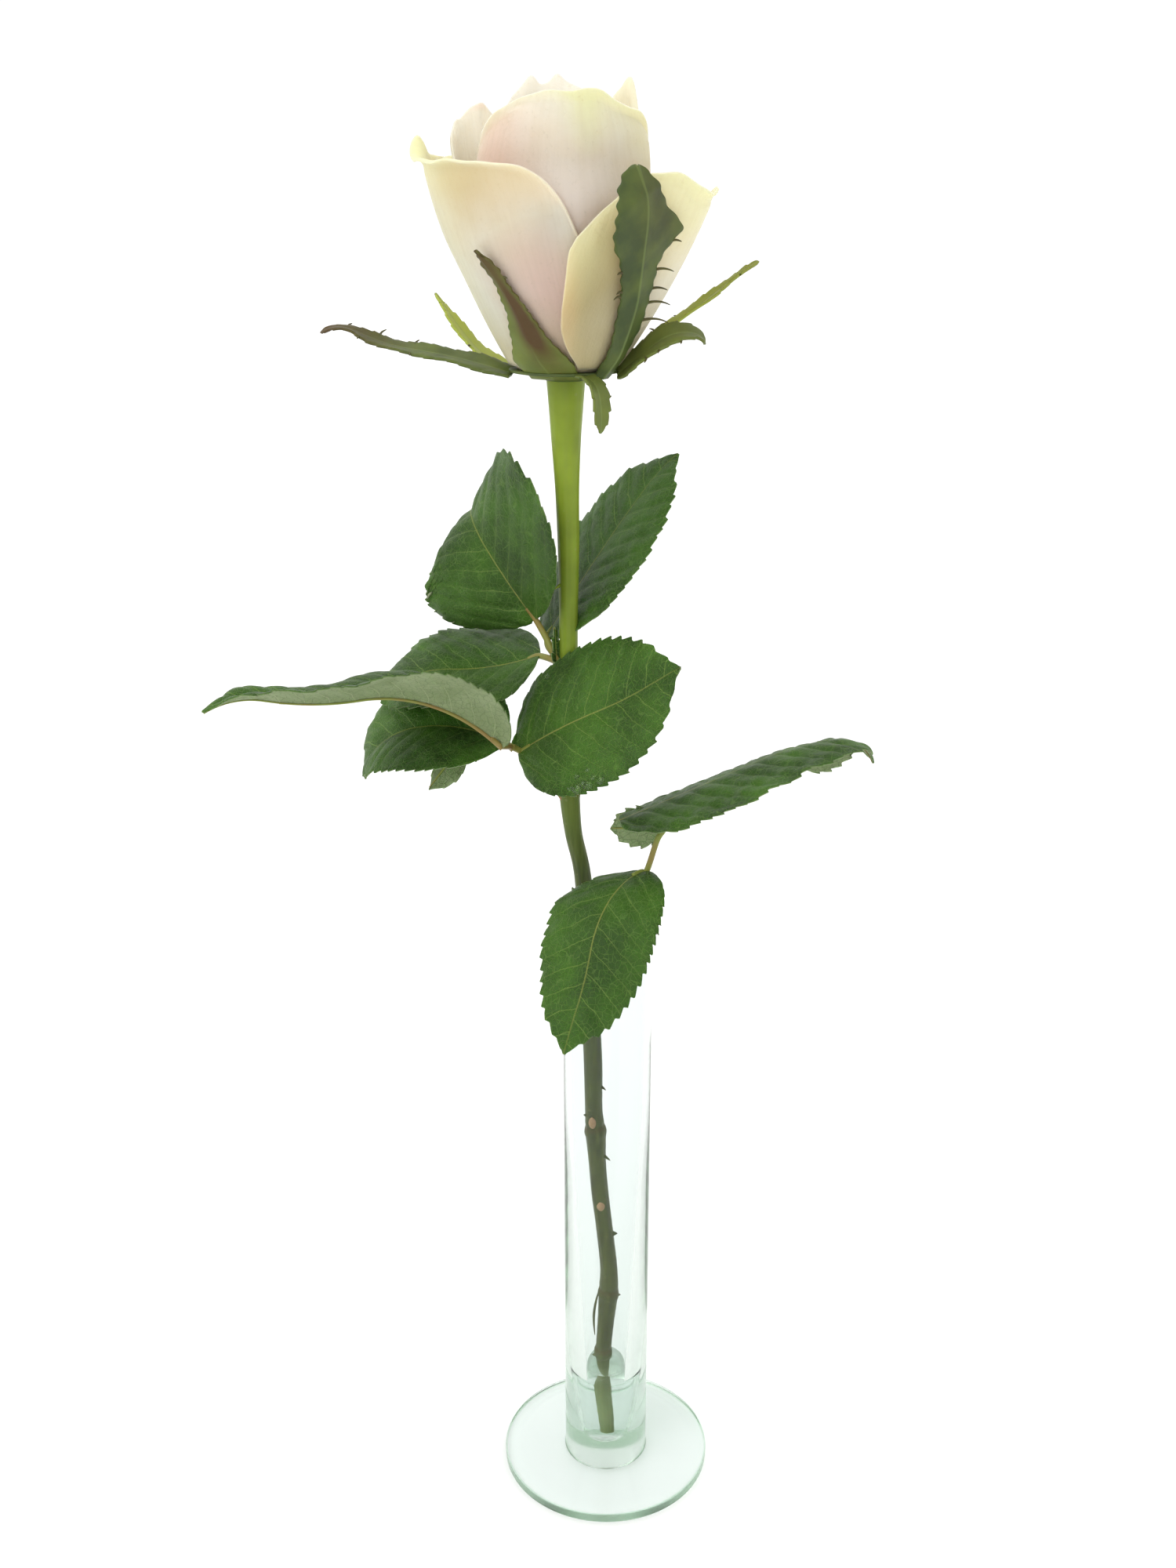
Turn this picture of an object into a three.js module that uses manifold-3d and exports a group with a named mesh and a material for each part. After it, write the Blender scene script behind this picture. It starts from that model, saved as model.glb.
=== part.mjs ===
// A cut rose in its glass bud vase. Millimetres, +Z up, origin at the centre of the foot's underside.
// The vase is a tube on a round foot. The stem stands in a little water and leans on the rim. It
// carries three compound leaves and, at the top, the calyx and the half-open bloom.

import * as THREE from 'three';
import Module from 'manifold-3d';

// Driving dimensions of the vase.
const FOOT_RADIUS = 30;
const FOOT_HEIGHT = 3;
const FOOT_BEVEL = 0.5;
const TUBE_RADIUS = 12;
const TUBE_TOP = 172;
const RIM_BEVEL = 0.5;
const WATER_LEVEL = 31;
// Radius of the tube's bore at each height, from its closed end up to the rim.
const BORE = [
  [2.6, 8], [3.7, 9.5], [4.6, 14], [5.6, 24], [6.6, 40], [7.6, 60], [8.8, 85], [9.8, 110], [10.3, 140],
];

// Driving dimensions of the rose.
const HIP_TOP = 316.5;
const HIP_RADIUS = 4.6;
const CALYX_THICK = 1.2;
const CALYX_RADIUS = 13.6;
const BLOOM_AXIS = [-10.5, -8];
const PETAL_THICK = 0.7;
const BLADE_THICK = 0.7;
const PETIOLE_RADIUS = 0.85;
const CLEAR = 0.3;

// The stem's centre line from its cut end up to the hip: x, y, z and radius, thicker at each node.
const STEM = [
  [0.4, 1.1, 9.4, 1.7], [0.1, 1.4, 15, 1.9], [-0.5, 1.4, 24, 2], [-0.9, 1, 33, 2.3],
  [-0.9, 0.9, 36, 2.7], [-0.6, 0.7, 40, 2.4], [0, 0.4, 48, 2.5], [0.7, -0.1, 58, 2.85],
  [0.7, -0.5, 66, 2.5], [-0.7, -1.1, 80, 2.35], [-1.9, -1.6, 91, 2.4], [-2.7, -2.1, 102, 2.4],
  [-3.2, -2.5, 112, 2.75], [-3.7, -2.9, 119, 2.35],
  [-3.9, -3.5, 134, 2.45], [-4.7, -4.4, 156, 2.3], [-5.6, -5.1, 176, 2.4], [-6.8, -5.5, 191, 2.15],
  [-9.0, -5.8, 202, 2.2], [-10.0, -6.0, 213, 2.55], [-10.1, -6.3, 221, 2.2], [-10.0, -6.7, 246, 2.2],
  [-10.0, -6.9, 260, 2.3], [-10.0, -7.2, 276, 2.6], [-10.3, -7.5, 290, 2.85], [-10.5, -7.8, 302, 3.5],
  [-10.5, -7.9, 309, 4.0], [-10.5, -8.0, HIP_TOP, HIP_RADIUS],
];
// Scars of old side shoots and prickles: where each one leaves the stem, where it ends, and its radius.
const KNOBS = [
  { from: [0.4, -1.0, 77], to: [3.6, -1.4, 79], radius: 1.0 },
  { from: [0.8, -0.2, 56], to: [4.4, -0.4, 57.5], radius: 1.1 },
  { from: [-3.6, -3.0, 116], to: [-6.2, -4.4, 119], radius: 1.2 },
  { from: [-0.9, 1.0, 34], to: [-4.3, 0.2, 36], radius: 1.3 },
];

// Each leaflet starts at its base, heading round from +X and rising from level in degrees, and is
// rolled about its rib. Its rib arches by the two angles in its first and second half and hooks at
// the tip. Left and right of the rib the blade folds up from flat, and cups towards its margin.
const LEAF_UPPER = [
  { base: [-18.6, -3.5, 258], heading: 173, rise: 52, roll: -104, length: 42, width: 54, arch: [18, 95],
    hook: 0, sway: 0, twist: 28, fold: [-12, 35], cup: [-25, 0] },
  { base: [-15.4, 2.7, 251.8], heading: 24, rise: 55, roll: -11, length: 56, width: 40, arch: [2, 4],
    hook: 13, sway: -5, twist: 13, fold: [9, 0], cup: [-9, -15] },
  { base: [-17.9, -0.5, 247.3], heading: 170, rise: -22, roll: -31, length: 45, width: 41, arch: [-29, 62],
    hook: -33, sway: 3, twist: 0, fold: [20, -2], cup: [-8, -21] },
];
const LEAF_MIDDLE = [
  { base: [-26.1, -30, 233.4], heading: 174, rise: 44, roll: 53, length: 74, width: 37, arch: [55, -29],
    hook: 52, sway: -2, twist: -20, fold: [9, 59], cup: [-13, -100] },
  { base: [-22, -11.9, 226.3], heading: -24, rise: 37, roll: 44, length: 49, width: 40, arch: [15, -28],
    hook: 17, sway: -2, twist: 10, fold: [8, 9], cup: [-20, -20] },
  { base: [-26.7, -15, 229.6], heading: 167, rise: 22, roll: -10, length: 45, width: 35, arch: [36, 59],
    hook: 13, sway: 7, twist: 2, fold: [2, 31], cup: [-25, -7] },
  { base: [-28, -11.5, 228.5], heading: 188, rise: -34, roll: 165, length: 21, width: 20, arch: [0, 0],
    hook: 0, sway: 0, twist: 0, fold: [10, 10], cup: [0, 0] },
];
const LEAF_LOWER = [
  { base: [3.3, -15, 208.9], heading: 6, rise: 22, roll: 9, length: 71, width: 38.5, arch: [0, 27],
    hook: 68, sway: 4, twist: -8, fold: [-30, 0], cup: [9, 7] },
  { base: [8.3, -16.1, 195.1], heading: 224, rise: -1, roll: 18, length: 53, width: 30, arch: [71, -23],
    hook: 21, sway: -5, twist: -39, fold: [-7, 7], cup: [-22, -14] },
];
// Leaf stalks as centre lines, from inside the stem out to the ribs of the leaflets they carry.
const STALKS_UPPER = [
  [[-10.5, -6.8, 244], [-13.2, -6.6, 248.4], [-15.6, -5, 253], [-18.6, -3.5, 258], [-20.4, -3.3, 260.3]],
  [[-13.6, -6.4, 249.4], [-15.3, -1.5, 250.3], [-15.4, 2.7, 251.8], [-14, 3.3, 254]],
  [[-12.9, -6.7, 247.6], [-15.5, -3.6, 247.7], [-17.9, -0.5, 247.3], [-20.3, -0.1, 246.4]],
];
const STALKS_MIDDLE = [
  [[-10.5, -6.2, 210], [-14, -7.6, 215.4], [-19, -10.2, 222.5], [-22, -13, 226.3], [-24.5, -17, 228.8],
    [-26.1, -30, 233.4], [-28.2, -29.8, 235.5]],
  [[-21.7, -12.6, 225.8], [-21.6, -12.1, 226.6], [-19.4, -13, 228.4]],
  [[-23.6, -15.6, 227.9], [-26.7, -15, 229.6], [-29.3, -14.4, 230.9]],
  [[-25.5, -15.4, 229.2], [-28, -11.5, 228.5], [-30, -11.8, 227.1]],
];
const STALKS_LOWER = [
  [[-5.5, -5.2, 176.5], [-1, -9, 182], [5, -13.8, 189.5], [9, -16, 194.3], [12, -16, 203.7],
    [14, -15.4, 207.3], [13.4, -14.2, 212.9]],
  [[9, -16, 194.3], [8.3, -16.1, 195.1], [6, -18.2, 195.2]],
];

// Sepals grow from the calyx as long, narrow blades, widest near the root or further out by their
// form. Two lie up the bud, the others stand free, and thin side lobes grow out of some.
const SEPALS = [
  { base: [-12.9, -0.2, -0.3], heading: 171, rise: 17, roll: -11, length: 47, width: 8.7, arch: [10, -31],
    hook: 69, sway: 0, twist: 0, fold: [6, 11], cup: [-4, -2], form: [0.1, 0.55] },
  { base: [-11.2, 6.4, 0], heading: 154, rise: 3, roll: 1, length: 29, width: 7.5, arch: [-42, -9],
    hook: 0, sway: 0, twist: 0, fold: [9, 9], cup: [0, 0], form: [0.2, 0.7] },
  { base: [13, 2.3, 0], heading: 7, rise: 45, roll: 3, length: 40, width: 6.3, arch: [11, -8],
    hook: 9, sway: -4, twist: 4, fold: [14, 12], cup: [0, 0], form: [0.1, 0.45] },
  { base: [12.3, -5.6, 0], heading: -20, rise: 41, roll: 33, length: 24, width: 8.7, arch: [6, 75],
    hook: 31, sway: 0, twist: 4, fold: [10, 10], cup: [0, 0], form: [0.4, 0.5] },
  { base: [3.1, -11.6, 0], heading: -42, rise: 12, roll: -4, length: 16, width: 6, arch: [85, 20],
    hook: 0, sway: 0, twist: 0, fold: [13, 13], cup: [0, 0], form: [0.5, 0.7] },
];
// The pressed sepals lie up the bud from one place round it to another, to a height, and stand this
// much further out than the middle of the outer petals.
const PRESSED = [
  { around: [254, 228], high: 26, width: 13, form: [0.05, 0.9] },
  { around: [315, 301.5], high: 43.5, width: 14, form: [0.6, 0.25] },
];
const PRESS = 3.8;
const LOBES = [
  { sepal: 0, along: 0.4, side: 1 }, { sepal: 0, along: 0.7, side: -1 }, { sepal: 2, along: 0.45, side: 1 },
  { sepal: 3, along: 0.4, side: -1 }, { sepal: 3, along: 0.65, side: -1 },
];
const LOBE_REACH = 5;
const LOBE_RADII = [0.6, 0.45];

// Petals stand round the bloom's axis. turn is where the middle of a petal stands, in degrees from
// +X, and span how far it reaches round. Seen from the side it runs from its foot past the belly to
// the rim, three radii, and its rim is at the height top, dropping towards its two edges.
const BUD = [12.4, 24.7, 32.5];
const BUD_TOP = 44;
const PETALS = [
  { turn: 215, span: 126, radii: BUD, top: 44, drop: 13, square: 5 },
  { turn: 331, span: 114, radii: BUD, top: 41, drop: 12, square: 4 },
  { turn: 68, span: 112, radii: [12.4, 23.2, 29], top: 42, drop: 10, square: 3 },
  { turn: 143, span: 104, radii: [12.4, 24.2, 31], top: 46, drop: 9, square: 4 },
  { turn: 140, span: 96, radii: [11.4, 22, 25.5], top: 58, drop: 12, square: 1.6 },
  { turn: 275, span: 160, radii: [9.6, 22, 19.2], top: 58, drop: 9, square: 2.8 },
  { turn: 30, span: 100, radii: [9.4, 21, 16.5], top: 62, drop: 12, square: 1.4 },
  { turn: 105, span: 112, radii: [8.2, 19.6, 16.5], top: 63, drop: 14, square: 1.8 },
  { turn: 215, span: 130, radii: [7.2, 17.6, 14.6], top: 55, drop: 7, square: 2.6 },
  { turn: 335, span: 130, radii: [6.2, 15.4, 12.6], top: 55, drop: 7, square: 2.6 },
  { turn: 75, span: 150, radii: [5.2, 13, 10.6], top: 57, drop: 6, square: 2.6 },
  { turn: 215, span: 160, radii: [4.4, 10.6, 8.2], top: 56, drop: 5, square: 2.6 },
  { turn: 335, span: 170, radii: [3.8, 8, 5.8], top: 55, drop: 5, square: 2.6 },
];
const PETAL_LOW = 1.2;
// One edge of a petal stands out and the other one in by the lap.
const LAP = 1;
// The bloom's receptacle and the rolled heart that the petals grow from, radius and height.
const HEART = [[0, 0], [11.2, 0], [13, 2.4], [11, 6], [5, 10], [3.2, 18], [3, 50], [0, 53]];

// Outlines of the blades: how the half width grows from the root, tapers to the tip, and how blunt
// the root is. A blade starts this share of its length behind its base and ends short of its tip.
const LEAF_FORM = [0.5, 0.75, 0.012];
const SEPAL_BLUNT = 0.03;
const BLADE_BACK = 0.011;
const BLADE_END = 0.995;
// How far the teeth of a margin stand out and the notches between them stand in.
const TOOTH_OUT = 0.55;
const TOOTH_IN = 0.35;
const STALK_TAPER = 0.6;
const KNOB_TAPER = 0.45;

const FOOT_SIDES = 48;
const TUBE_SIDES = 32;
const STEM_SIDES = 12;
const STALK_SIDES = 6;
const LEAF_ROWS = 25;
const LEAF_STEPS = 2;
const SEPAL_ROWS = 9;
const SPINE_STEPS = 60;
const HOOK_START = 0.8;
const PETAL_ROWS = 5;
const PETAL_STEP = 16;

const wasm = await Module();
wasm.setup();

const radians = (degrees) => degrees * Math.PI / 180;
const vector = (p) => new THREE.Vector3(p[0], p[1], p[2]);

// A solid from points and triangles that already share their corners.
function solid(points, triangles) {
  const vertProperties = new Float32Array(points.length * 3);
  points.forEach((p, i) => vertProperties.set([p.x, p.y, p.z], i * 3));
  const triVerts = new Uint32Array(triangles.flat());
  return new wasm.Manifold(new wasm.Mesh({ numProp: 3, vertProperties, triVerts }));
}

function join(solids) {
  return solids.reduce((whole, piece) => whole.add(piece));
}

// The outer skin of a solid: closed pockets left between its blades are filled.
function filled(whole) {
  return whole.decompose().reduce((best, piece) => (piece.volume() > best.volume() ? piece : best));
}

function geometryOf(manifold) {
  const { vertProperties, triVerts } = manifold.getMesh();
  const geometry = new THREE.BufferGeometry();
  geometry.setAttribute('position', new THREE.BufferAttribute(vertProperties, 3));
  geometry.setIndex(new THREE.BufferAttribute(triVerts, 1));
  geometry.computeVertexNormals();
  return geometry;
}

// A solid through rings of points, each ring going anticlockwise seen from the last ring's side.
function loft(rings) {
  const sides = rings[0].length;
  const points = rings.flat();
  const triangles = [];
  for (let i = 0; i < rings.length - 1; i += 1) {
    for (let j = 0; j < sides; j += 1) {
      const a = i * sides + j;
      const b = i * sides + (j + 1) % sides;
      triangles.push([a, b, b + sides], [a, b + sides, a + sides]);
    }
  }
  const centre = (ring) => ring.reduce((sum, p) => sum.add(p), new THREE.Vector3()).divideScalar(sides);
  const first = points.push(centre(rings[0])) - 1;
  const last = points.push(centre(rings.at(-1))) - 1;
  const end = (rings.length - 1) * sides;
  for (let j = 0; j < sides; j += 1) {
    const k = (j + 1) % sides;
    triangles.push([first, k, j], [last, end + j, end + k]);
  }
  return solid(points, triangles);
}

// A round rod along stations of x, y, z and radius, grown outwards by a margin.
function rod(stations, sides, margin = 0) {
  const centres = stations.map(vector);
  const side = new THREE.Vector3(0, 1, 0);
  const rings = centres.map((centre, i) => {
    const before = centres[Math.max(i - 1, 0)];
    const after = centres[Math.min(i + 1, centres.length - 1)];
    const along = after.clone().sub(before).normalize();
    const u = side.clone().addScaledVector(along, -side.dot(along)).normalize();
    const w = along.clone().cross(u);
    return Array.from({ length: sides }, (_, j) => {
      const angle = 2 * Math.PI * j / sides;
      const radius = stations[i][3] + margin;
      return centre.clone()
        .addScaledVector(u, radius * Math.cos(angle))
        .addScaledVector(w, radius * Math.sin(angle));
    });
  });
  return loft(rings);
}

// A blade of even thickness over a grid of points. Both faces are split along the same diagonals.
function blade(grid, thickness) {
  const rows = grid.length;
  const columns = grid[0].length;
  const at = (i, j) => grid[Math.min(Math.max(i, 0), rows - 1)][Math.min(Math.max(j, 0), columns - 1)];
  const upper = [];
  const lower = [];
  for (let i = 0; i < rows; i += 1) {
    for (let j = 0; j < columns; j += 1) {
      const along = at(i + 1, j).clone().sub(at(i - 1, j));
      const across = at(i, j + 1).clone().sub(at(i, j - 1));
      const normal = along.cross(across).normalize().multiplyScalar(thickness / 2);
      upper.push(at(i, j).clone().add(normal));
      lower.push(at(i, j).clone().sub(normal));
    }
  }
  const count = upper.length;
  const triangles = [];
  for (let i = 0; i < rows - 1; i += 1) {
    for (let j = 0; j < columns - 1; j += 1) {
      const a = i * columns + j;
      const b = a + columns;
      triangles.push([a, b, b + 1], [a, b + 1, a + 1]);
      triangles.push([count + a, count + b + 1, count + b], [count + a, count + a + 1, count + b + 1]);
    }
  }
  const edge = [];
  for (let j = 0; j < columns - 1; j += 1) {
    edge.push(j);
  }
  for (let i = 0; i < rows - 1; i += 1) {
    edge.push(i * columns + columns - 1);
  }
  for (let j = columns - 1; j > 0; j -= 1) {
    edge.push((rows - 1) * columns + j);
  }
  for (let i = rows - 1; i > 0; i -= 1) {
    edge.push(i * columns);
  }
  edge.forEach((a, k) => {
    const b = edge[(k + 1) % edge.length];
    triangles.push([a, b, count + b], [a, count + b, count + a]);
  });
  return solid([...upper, ...lower], triangles);
}

// The rib of a leaflet or sepal: points with the directions along, across to the left, and up.
function spine(leaf) {
  const rise = radians(leaf.rise);
  const round = new THREE.Vector3(Math.cos(radians(leaf.heading)), Math.sin(radians(leaf.heading)), 0);
  const along = round.clone().multiplyScalar(Math.cos(rise)).setZ(Math.sin(rise));
  const up = round.clone().multiplyScalar(-Math.sin(rise)).setZ(Math.cos(rise));
  const left = up.clone().cross(along);
  up.applyAxisAngle(along, radians(leaf.roll));
  left.applyAxisAngle(along, radians(leaf.roll));
  const point = vector(leaf.base);
  const frames = [];
  for (let k = 0; k <= SPINE_STEPS; k += 1) {
    frames.push({ point: point.clone(), along: along.clone(), up: up.clone(), left: left.clone() });
    const middle = (k + 0.5) / SPINE_STEPS;
    const arch = 2 * leaf.arch[middle < 0.5 ? 0 : 1];
    const hook = middle > HOOK_START ? leaf.hook / (1 - HOOK_START) : 0;
    point.addScaledVector(along, leaf.length / SPINE_STEPS);
    const droop = radians((arch + hook) / SPINE_STEPS);
    along.applyAxisAngle(left, droop);
    up.applyAxisAngle(left, droop);
    const sway = radians(leaf.sway / SPINE_STEPS);
    along.applyAxisAngle(up, sway);
    left.applyAxisAngle(up, sway);
    const twist = radians(leaf.twist / SPINE_STEPS);
    left.applyAxisAngle(along, twist);
    up.applyAxisAngle(along, twist);
  }
  return frames;
}

// Half the width of a blade along its rib, as a share of its greatest half width.
function outlineOf([root, taper, blunt]) {
  const shape = (s) => Math.max(s + blunt, 0) ** root * (1 - s) ** taper;
  const widest = Math.max((root - blunt * taper) / (root + taper), 0);
  return (s) => shape(s) / shape(widest);
}

// The grid of a leaflet or sepal. On a toothed margin every other row stands out and towards the tip.
function bladeGrid(leaf, outline, rows, steps, toothed) {
  const frames = spine(leaf);
  const grid = [];
  for (let i = 0; i <= rows; i += 1) {
    const s = (BLADE_END + BLADE_BACK) * i / rows - BLADE_BACK;
    const nearest = Math.max(Math.round(s * SPINE_STEPS), 0);
    const frame = frames[nearest];
    const beyond = (s - nearest / SPINE_STEPS) * leaf.length;
    const point = frame.point.clone().addScaledVector(frame.along, beyond);
    const tooth = i % 2 ? TOOTH_OUT : -TOOTH_IN;
    const row = [];
    for (let j = -steps; j <= steps; j += 1) {
      const share = Math.abs(j) / steps;
      const side = j < 0 ? 1 : 0;
      const margin = toothed && share === 1 && i > 1 && i < rows - 1 ? tooth : 0;
      const angle = radians(leaf.fold[side] + leaf.cup[side] * share / 2);
      const reach = 0.5 * leaf.width * outline(s) * share + margin;
      row.push(point.clone()
        .addScaledVector(frame.left, Math.sign(j) * reach * Math.cos(angle))
        .addScaledVector(frame.up, reach * Math.sin(angle))
        .addScaledVector(frame.along, Math.max(margin, 0)));
    }
    grid.push(row);
  }
  return grid;
}

// The radius of a petal between its foot and its rim.
const bulge = ([foot, belly, rim], t) => foot * (1 - t) ** 2 + 2 * belly * t * (1 - t) + rim * t ** 2;

// The grid of a sepal that lies up the bud: it leaves the dish outwards and then follows the petals.
function pressedGrid({ around, high, width, form }) {
  const outline = outlineOf([...form, SEPAL_BLUNT]);
  const grid = [];
  for (let i = -1; i <= SEPAL_ROWS; i += 1) {
    const s = BLADE_END * Math.max(i, 0) / SEPAL_ROWS;
    const height = CALYX_THICK / 2 + (i < 0 ? 0 : CLEAR + high * s);
    const t = Math.max(height - CALYX_THICK - CLEAR - PETAL_LOW, 0) / (BUD_TOP - PETAL_LOW);
    const reach = i < 0 ? CALYX_RADIUS - 1 : bulge(BUD, t) + PRESS;
    const row = [];
    for (let j = -2; j <= 2; j += 1) {
      const middle = radians(around[0] + (around[1] - around[0]) * s);
      const angle = middle + 0.25 * j * width * outline(s) / reach;
      row.push(new THREE.Vector3(reach * Math.cos(angle), reach * Math.sin(angle), height));
    }
    grid.push(row);
  }
  return grid;
}

function leaflet(leaf) {
  return blade(bladeGrid(leaf, outlineOf(LEAF_FORM), LEAF_ROWS, LEAF_STEPS, true), BLADE_THICK);
}

function stalk(points) {
  const last = points.length - 1;
  return rod(points.map((p, i) => [...p, PETIOLE_RADIUS * (i === last ? STALK_TAPER : 1)]), STALK_SIDES);
}

// Leaflets and their stalks joined into one leaf, cut back to stand clear of the stem.
function compoundLeaf(leaflets, stalks) {
  return join([...leaflets.map(leaflet), ...stalks.map(stalk)]).subtract(rod(STEM, STEM_SIDES, CLEAR));
}

function petalGrid({ turn, span, radii, top, drop, square }) {
  const columns = Math.round(span / PETAL_STEP);
  const grid = [];
  for (let i = 0; i <= PETAL_ROWS; i += 1) {
    const t = i / PETAL_ROWS;
    const row = [];
    for (let j = 0; j <= columns; j += 1) {
      const v = 2 * j / columns - 1;
      const angle = radians(turn + 0.5 * span * v);
      const reach = bulge(radii, t) - LAP * v;
      const height = PETAL_LOW + t * (top - drop * Math.abs(v) ** square - PETAL_LOW);
      row.push(new THREE.Vector3(reach * Math.cos(angle), reach * Math.sin(angle), height));
    }
    grid.push(row);
  }
  return grid;
}

// A closed lathe profile of radius and height, turned about the Z axis.
function turned(profile, sides) {
  const points = [];
  const rings = profile.map(([radius, height]) => {
    const start = points.length;
    const count = radius === 0 ? 1 : sides;
    for (let j = 0; j < count; j += 1) {
      const angle = 2 * Math.PI * j / sides;
      points.push(new THREE.Vector3(radius * Math.cos(angle), radius * Math.sin(angle), height));
    }
    return { start, count };
  });
  const triangles = [];
  for (let i = 0; i < rings.length - 1; i += 1) {
    const a = rings[i];
    const b = rings[i + 1];
    for (let j = 0; j < sides; j += 1) {
      const k = (j + 1) % sides;
      if (b.count > 1) {
        triangles.push([a.start + j % a.count, b.start + k, b.start + j]);
      }
      if (a.count > 1) {
        triangles.push([a.start + j, a.start + k, b.start + k % b.count]);
      }
    }
  }
  return solid(points, triangles);
}

const group = new THREE.Group();

function addPiece(name, geometry, color, roughness, place = [0, 0, 0]) {
  const material = new THREE.MeshStandardMaterial({ color, roughness, metalness: 0 });
  const mesh = new THREE.Mesh(geometry, material);
  mesh.name = name;
  mesh.position.set(...place);
  group.add(mesh);
}

// The foot is a flat glass disc, and the tube stands on it with its flat lower end.
const footProfile = [
  [0, 0], [FOOT_RADIUS - FOOT_BEVEL, 0], [FOOT_RADIUS, FOOT_BEVEL], [FOOT_RADIUS, FOOT_HEIGHT - FOOT_BEVEL],
  [FOOT_RADIUS - FOOT_BEVEL, FOOT_HEIGHT], [0, FOOT_HEIGHT],
];
addPiece('vase_foot', geometryOf(turned(footProfile, FOOT_SIDES)), 0xf0f4f2, 0.05);

const boreRim = BORE.at(-1)[0];
const tubeProfile = [
  [0, FOOT_HEIGHT], [TUBE_RADIUS, FOOT_HEIGHT], [TUBE_RADIUS, TUBE_TOP - RIM_BEVEL],
  [TUBE_RADIUS - RIM_BEVEL, TUBE_TOP], [boreRim + RIM_BEVEL, TUBE_TOP], [boreRim, TUBE_TOP - RIM_BEVEL],
  ...BORE.toReversed(), [0, BORE[0][1]],
];
addPiece('vase_tube', geometryOf(turned(tubeProfile, TUBE_SIDES)), 0xdde9df, 0.05);

// The water fills the bottom of the bore, with a plain hole where the stem stands in it.
const wet = BORE.filter(([, height]) => height < WATER_LEVEL)
  .map(([radius, height]) => [radius - CLEAR, height + CLEAR]);
const surface = wet.at(-1)[0] + CLEAR;
const waterProfile = [[0, wet[0][1]], ...wet, [surface, WATER_LEVEL], [0, WATER_LEVEL]];
const water = turned(waterProfile, TUBE_SIDES).subtract(rod(STEM, STEM_SIDES, CLEAR));
addPiece('water', geometryOf(water), 0xeaf2ee, 0.02);

const knobs = KNOBS.map(({ from, to, radius }) => (
  rod([[...from, radius], [...to, radius * KNOB_TAPER]], STALK_SIDES)
));
addPiece('stem', geometryOf(join([rod(STEM, STEM_SIDES), ...knobs])), 0x6f8a35, 0.5);

addPiece('leaf_upper', geometryOf(compoundLeaf(LEAF_UPPER, STALKS_UPPER)), 0x4b6f3c, 0.5);
addPiece('leaf_middle', geometryOf(compoundLeaf(LEAF_MIDDLE, STALKS_MIDDLE)), 0x466a3a, 0.5);
addPiece('leaf_lower', geometryOf(compoundLeaf(LEAF_LOWER, STALKS_LOWER)), 0x4d713f, 0.5);

// The calyx is a thin dish on the hip with the sepals growing out of it.
const calyxLow = HIP_TOP + CLEAR;
const dish = turned([[0, 0], [CALYX_RADIUS, 0], [CALYX_RADIUS, CALYX_THICK], [0, CALYX_THICK]], TUBE_SIDES);
const rooted = SEPALS.map(({ base: [x, y, z], ...rest }) => (
  { ...rest, base: [x, y, z + CALYX_THICK / 2] }
));
const sepals = rooted.map((sepal) => (
  blade(bladeGrid(sepal, outlineOf([...sepal.form, SEPAL_BLUNT]), SEPAL_ROWS, 1, false), BLADE_THICK)
));
const pressed = PRESSED.map((sepal) => blade(pressedGrid(sepal), BLADE_THICK));
const lobes = LOBES.map(({ sepal, along, side }) => {
  const frame = spine(rooted[sepal])[Math.round(along * SPINE_STEPS)];
  const tip = frame.point.clone()
    .addScaledVector(frame.left, side * LOBE_REACH)
    .addScaledVector(frame.along, LOBE_REACH / 2);
  return rod([[...frame.point, LOBE_RADII[0]], [...tip, LOBE_RADII[1]]], STALK_SIDES);
});
const calyx = join([dish, ...sepals, ...pressed, ...lobes]);
addPiece('calyx', geometryOf(calyx), 0x5f8440, 0.55, [...BLOOM_AXIS, calyxLow]);

// The petals stand out of the heart in a spiral, and each one laps over the next.
const bloomLow = calyxLow + CALYX_THICK + CLEAR;
const heart = turned(HEART, STEM_SIDES * 2);
const petals = PETALS.map((petal) => blade(petalGrid(petal), PETAL_THICK));
addPiece('bloom', geometryOf(filled(join([heart, ...petals]))), 0xe9dcc0, 0.6, [...BLOOM_AXIS, bloomLow]);

export default group;
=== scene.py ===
"""A cut rose standing in a glass bud vase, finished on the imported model's frame.

Lengths are written in millimetres and turned into metres by MM. The sections follow the object from
the ground up: studio, vase, water, stem, leaves, bloom, calyx.
"""

import bpy
import numpy as np
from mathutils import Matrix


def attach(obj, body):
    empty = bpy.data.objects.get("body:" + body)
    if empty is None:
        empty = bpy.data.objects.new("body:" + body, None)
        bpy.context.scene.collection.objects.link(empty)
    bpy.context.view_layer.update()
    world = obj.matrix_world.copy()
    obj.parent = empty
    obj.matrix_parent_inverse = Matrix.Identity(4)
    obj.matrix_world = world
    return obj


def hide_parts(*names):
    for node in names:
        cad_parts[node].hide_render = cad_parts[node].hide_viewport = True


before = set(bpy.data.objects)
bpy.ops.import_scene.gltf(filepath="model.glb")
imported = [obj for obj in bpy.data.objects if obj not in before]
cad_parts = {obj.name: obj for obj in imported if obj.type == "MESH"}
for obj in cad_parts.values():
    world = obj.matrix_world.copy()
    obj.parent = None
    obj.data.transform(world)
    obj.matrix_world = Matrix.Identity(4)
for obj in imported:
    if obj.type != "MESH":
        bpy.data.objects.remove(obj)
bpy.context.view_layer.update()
scene = bpy.context.scene
MM = 0.001

# Studio. A matt white paper floor that runs far past the object, a lit white backdrop all round the
# back, a slightly darker room in front, and one broad soft light from the upper left and front, which is
# 50 degrees across. FLOOR is half the paper's side in metres.
BACKDROP = 1.06
ROOM = 0.97
KEY = 1.2
KEY_FROM = (-0.6, -0.62, 0.75)
KEY_BREADTH = 50
FLOOR = 8
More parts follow.
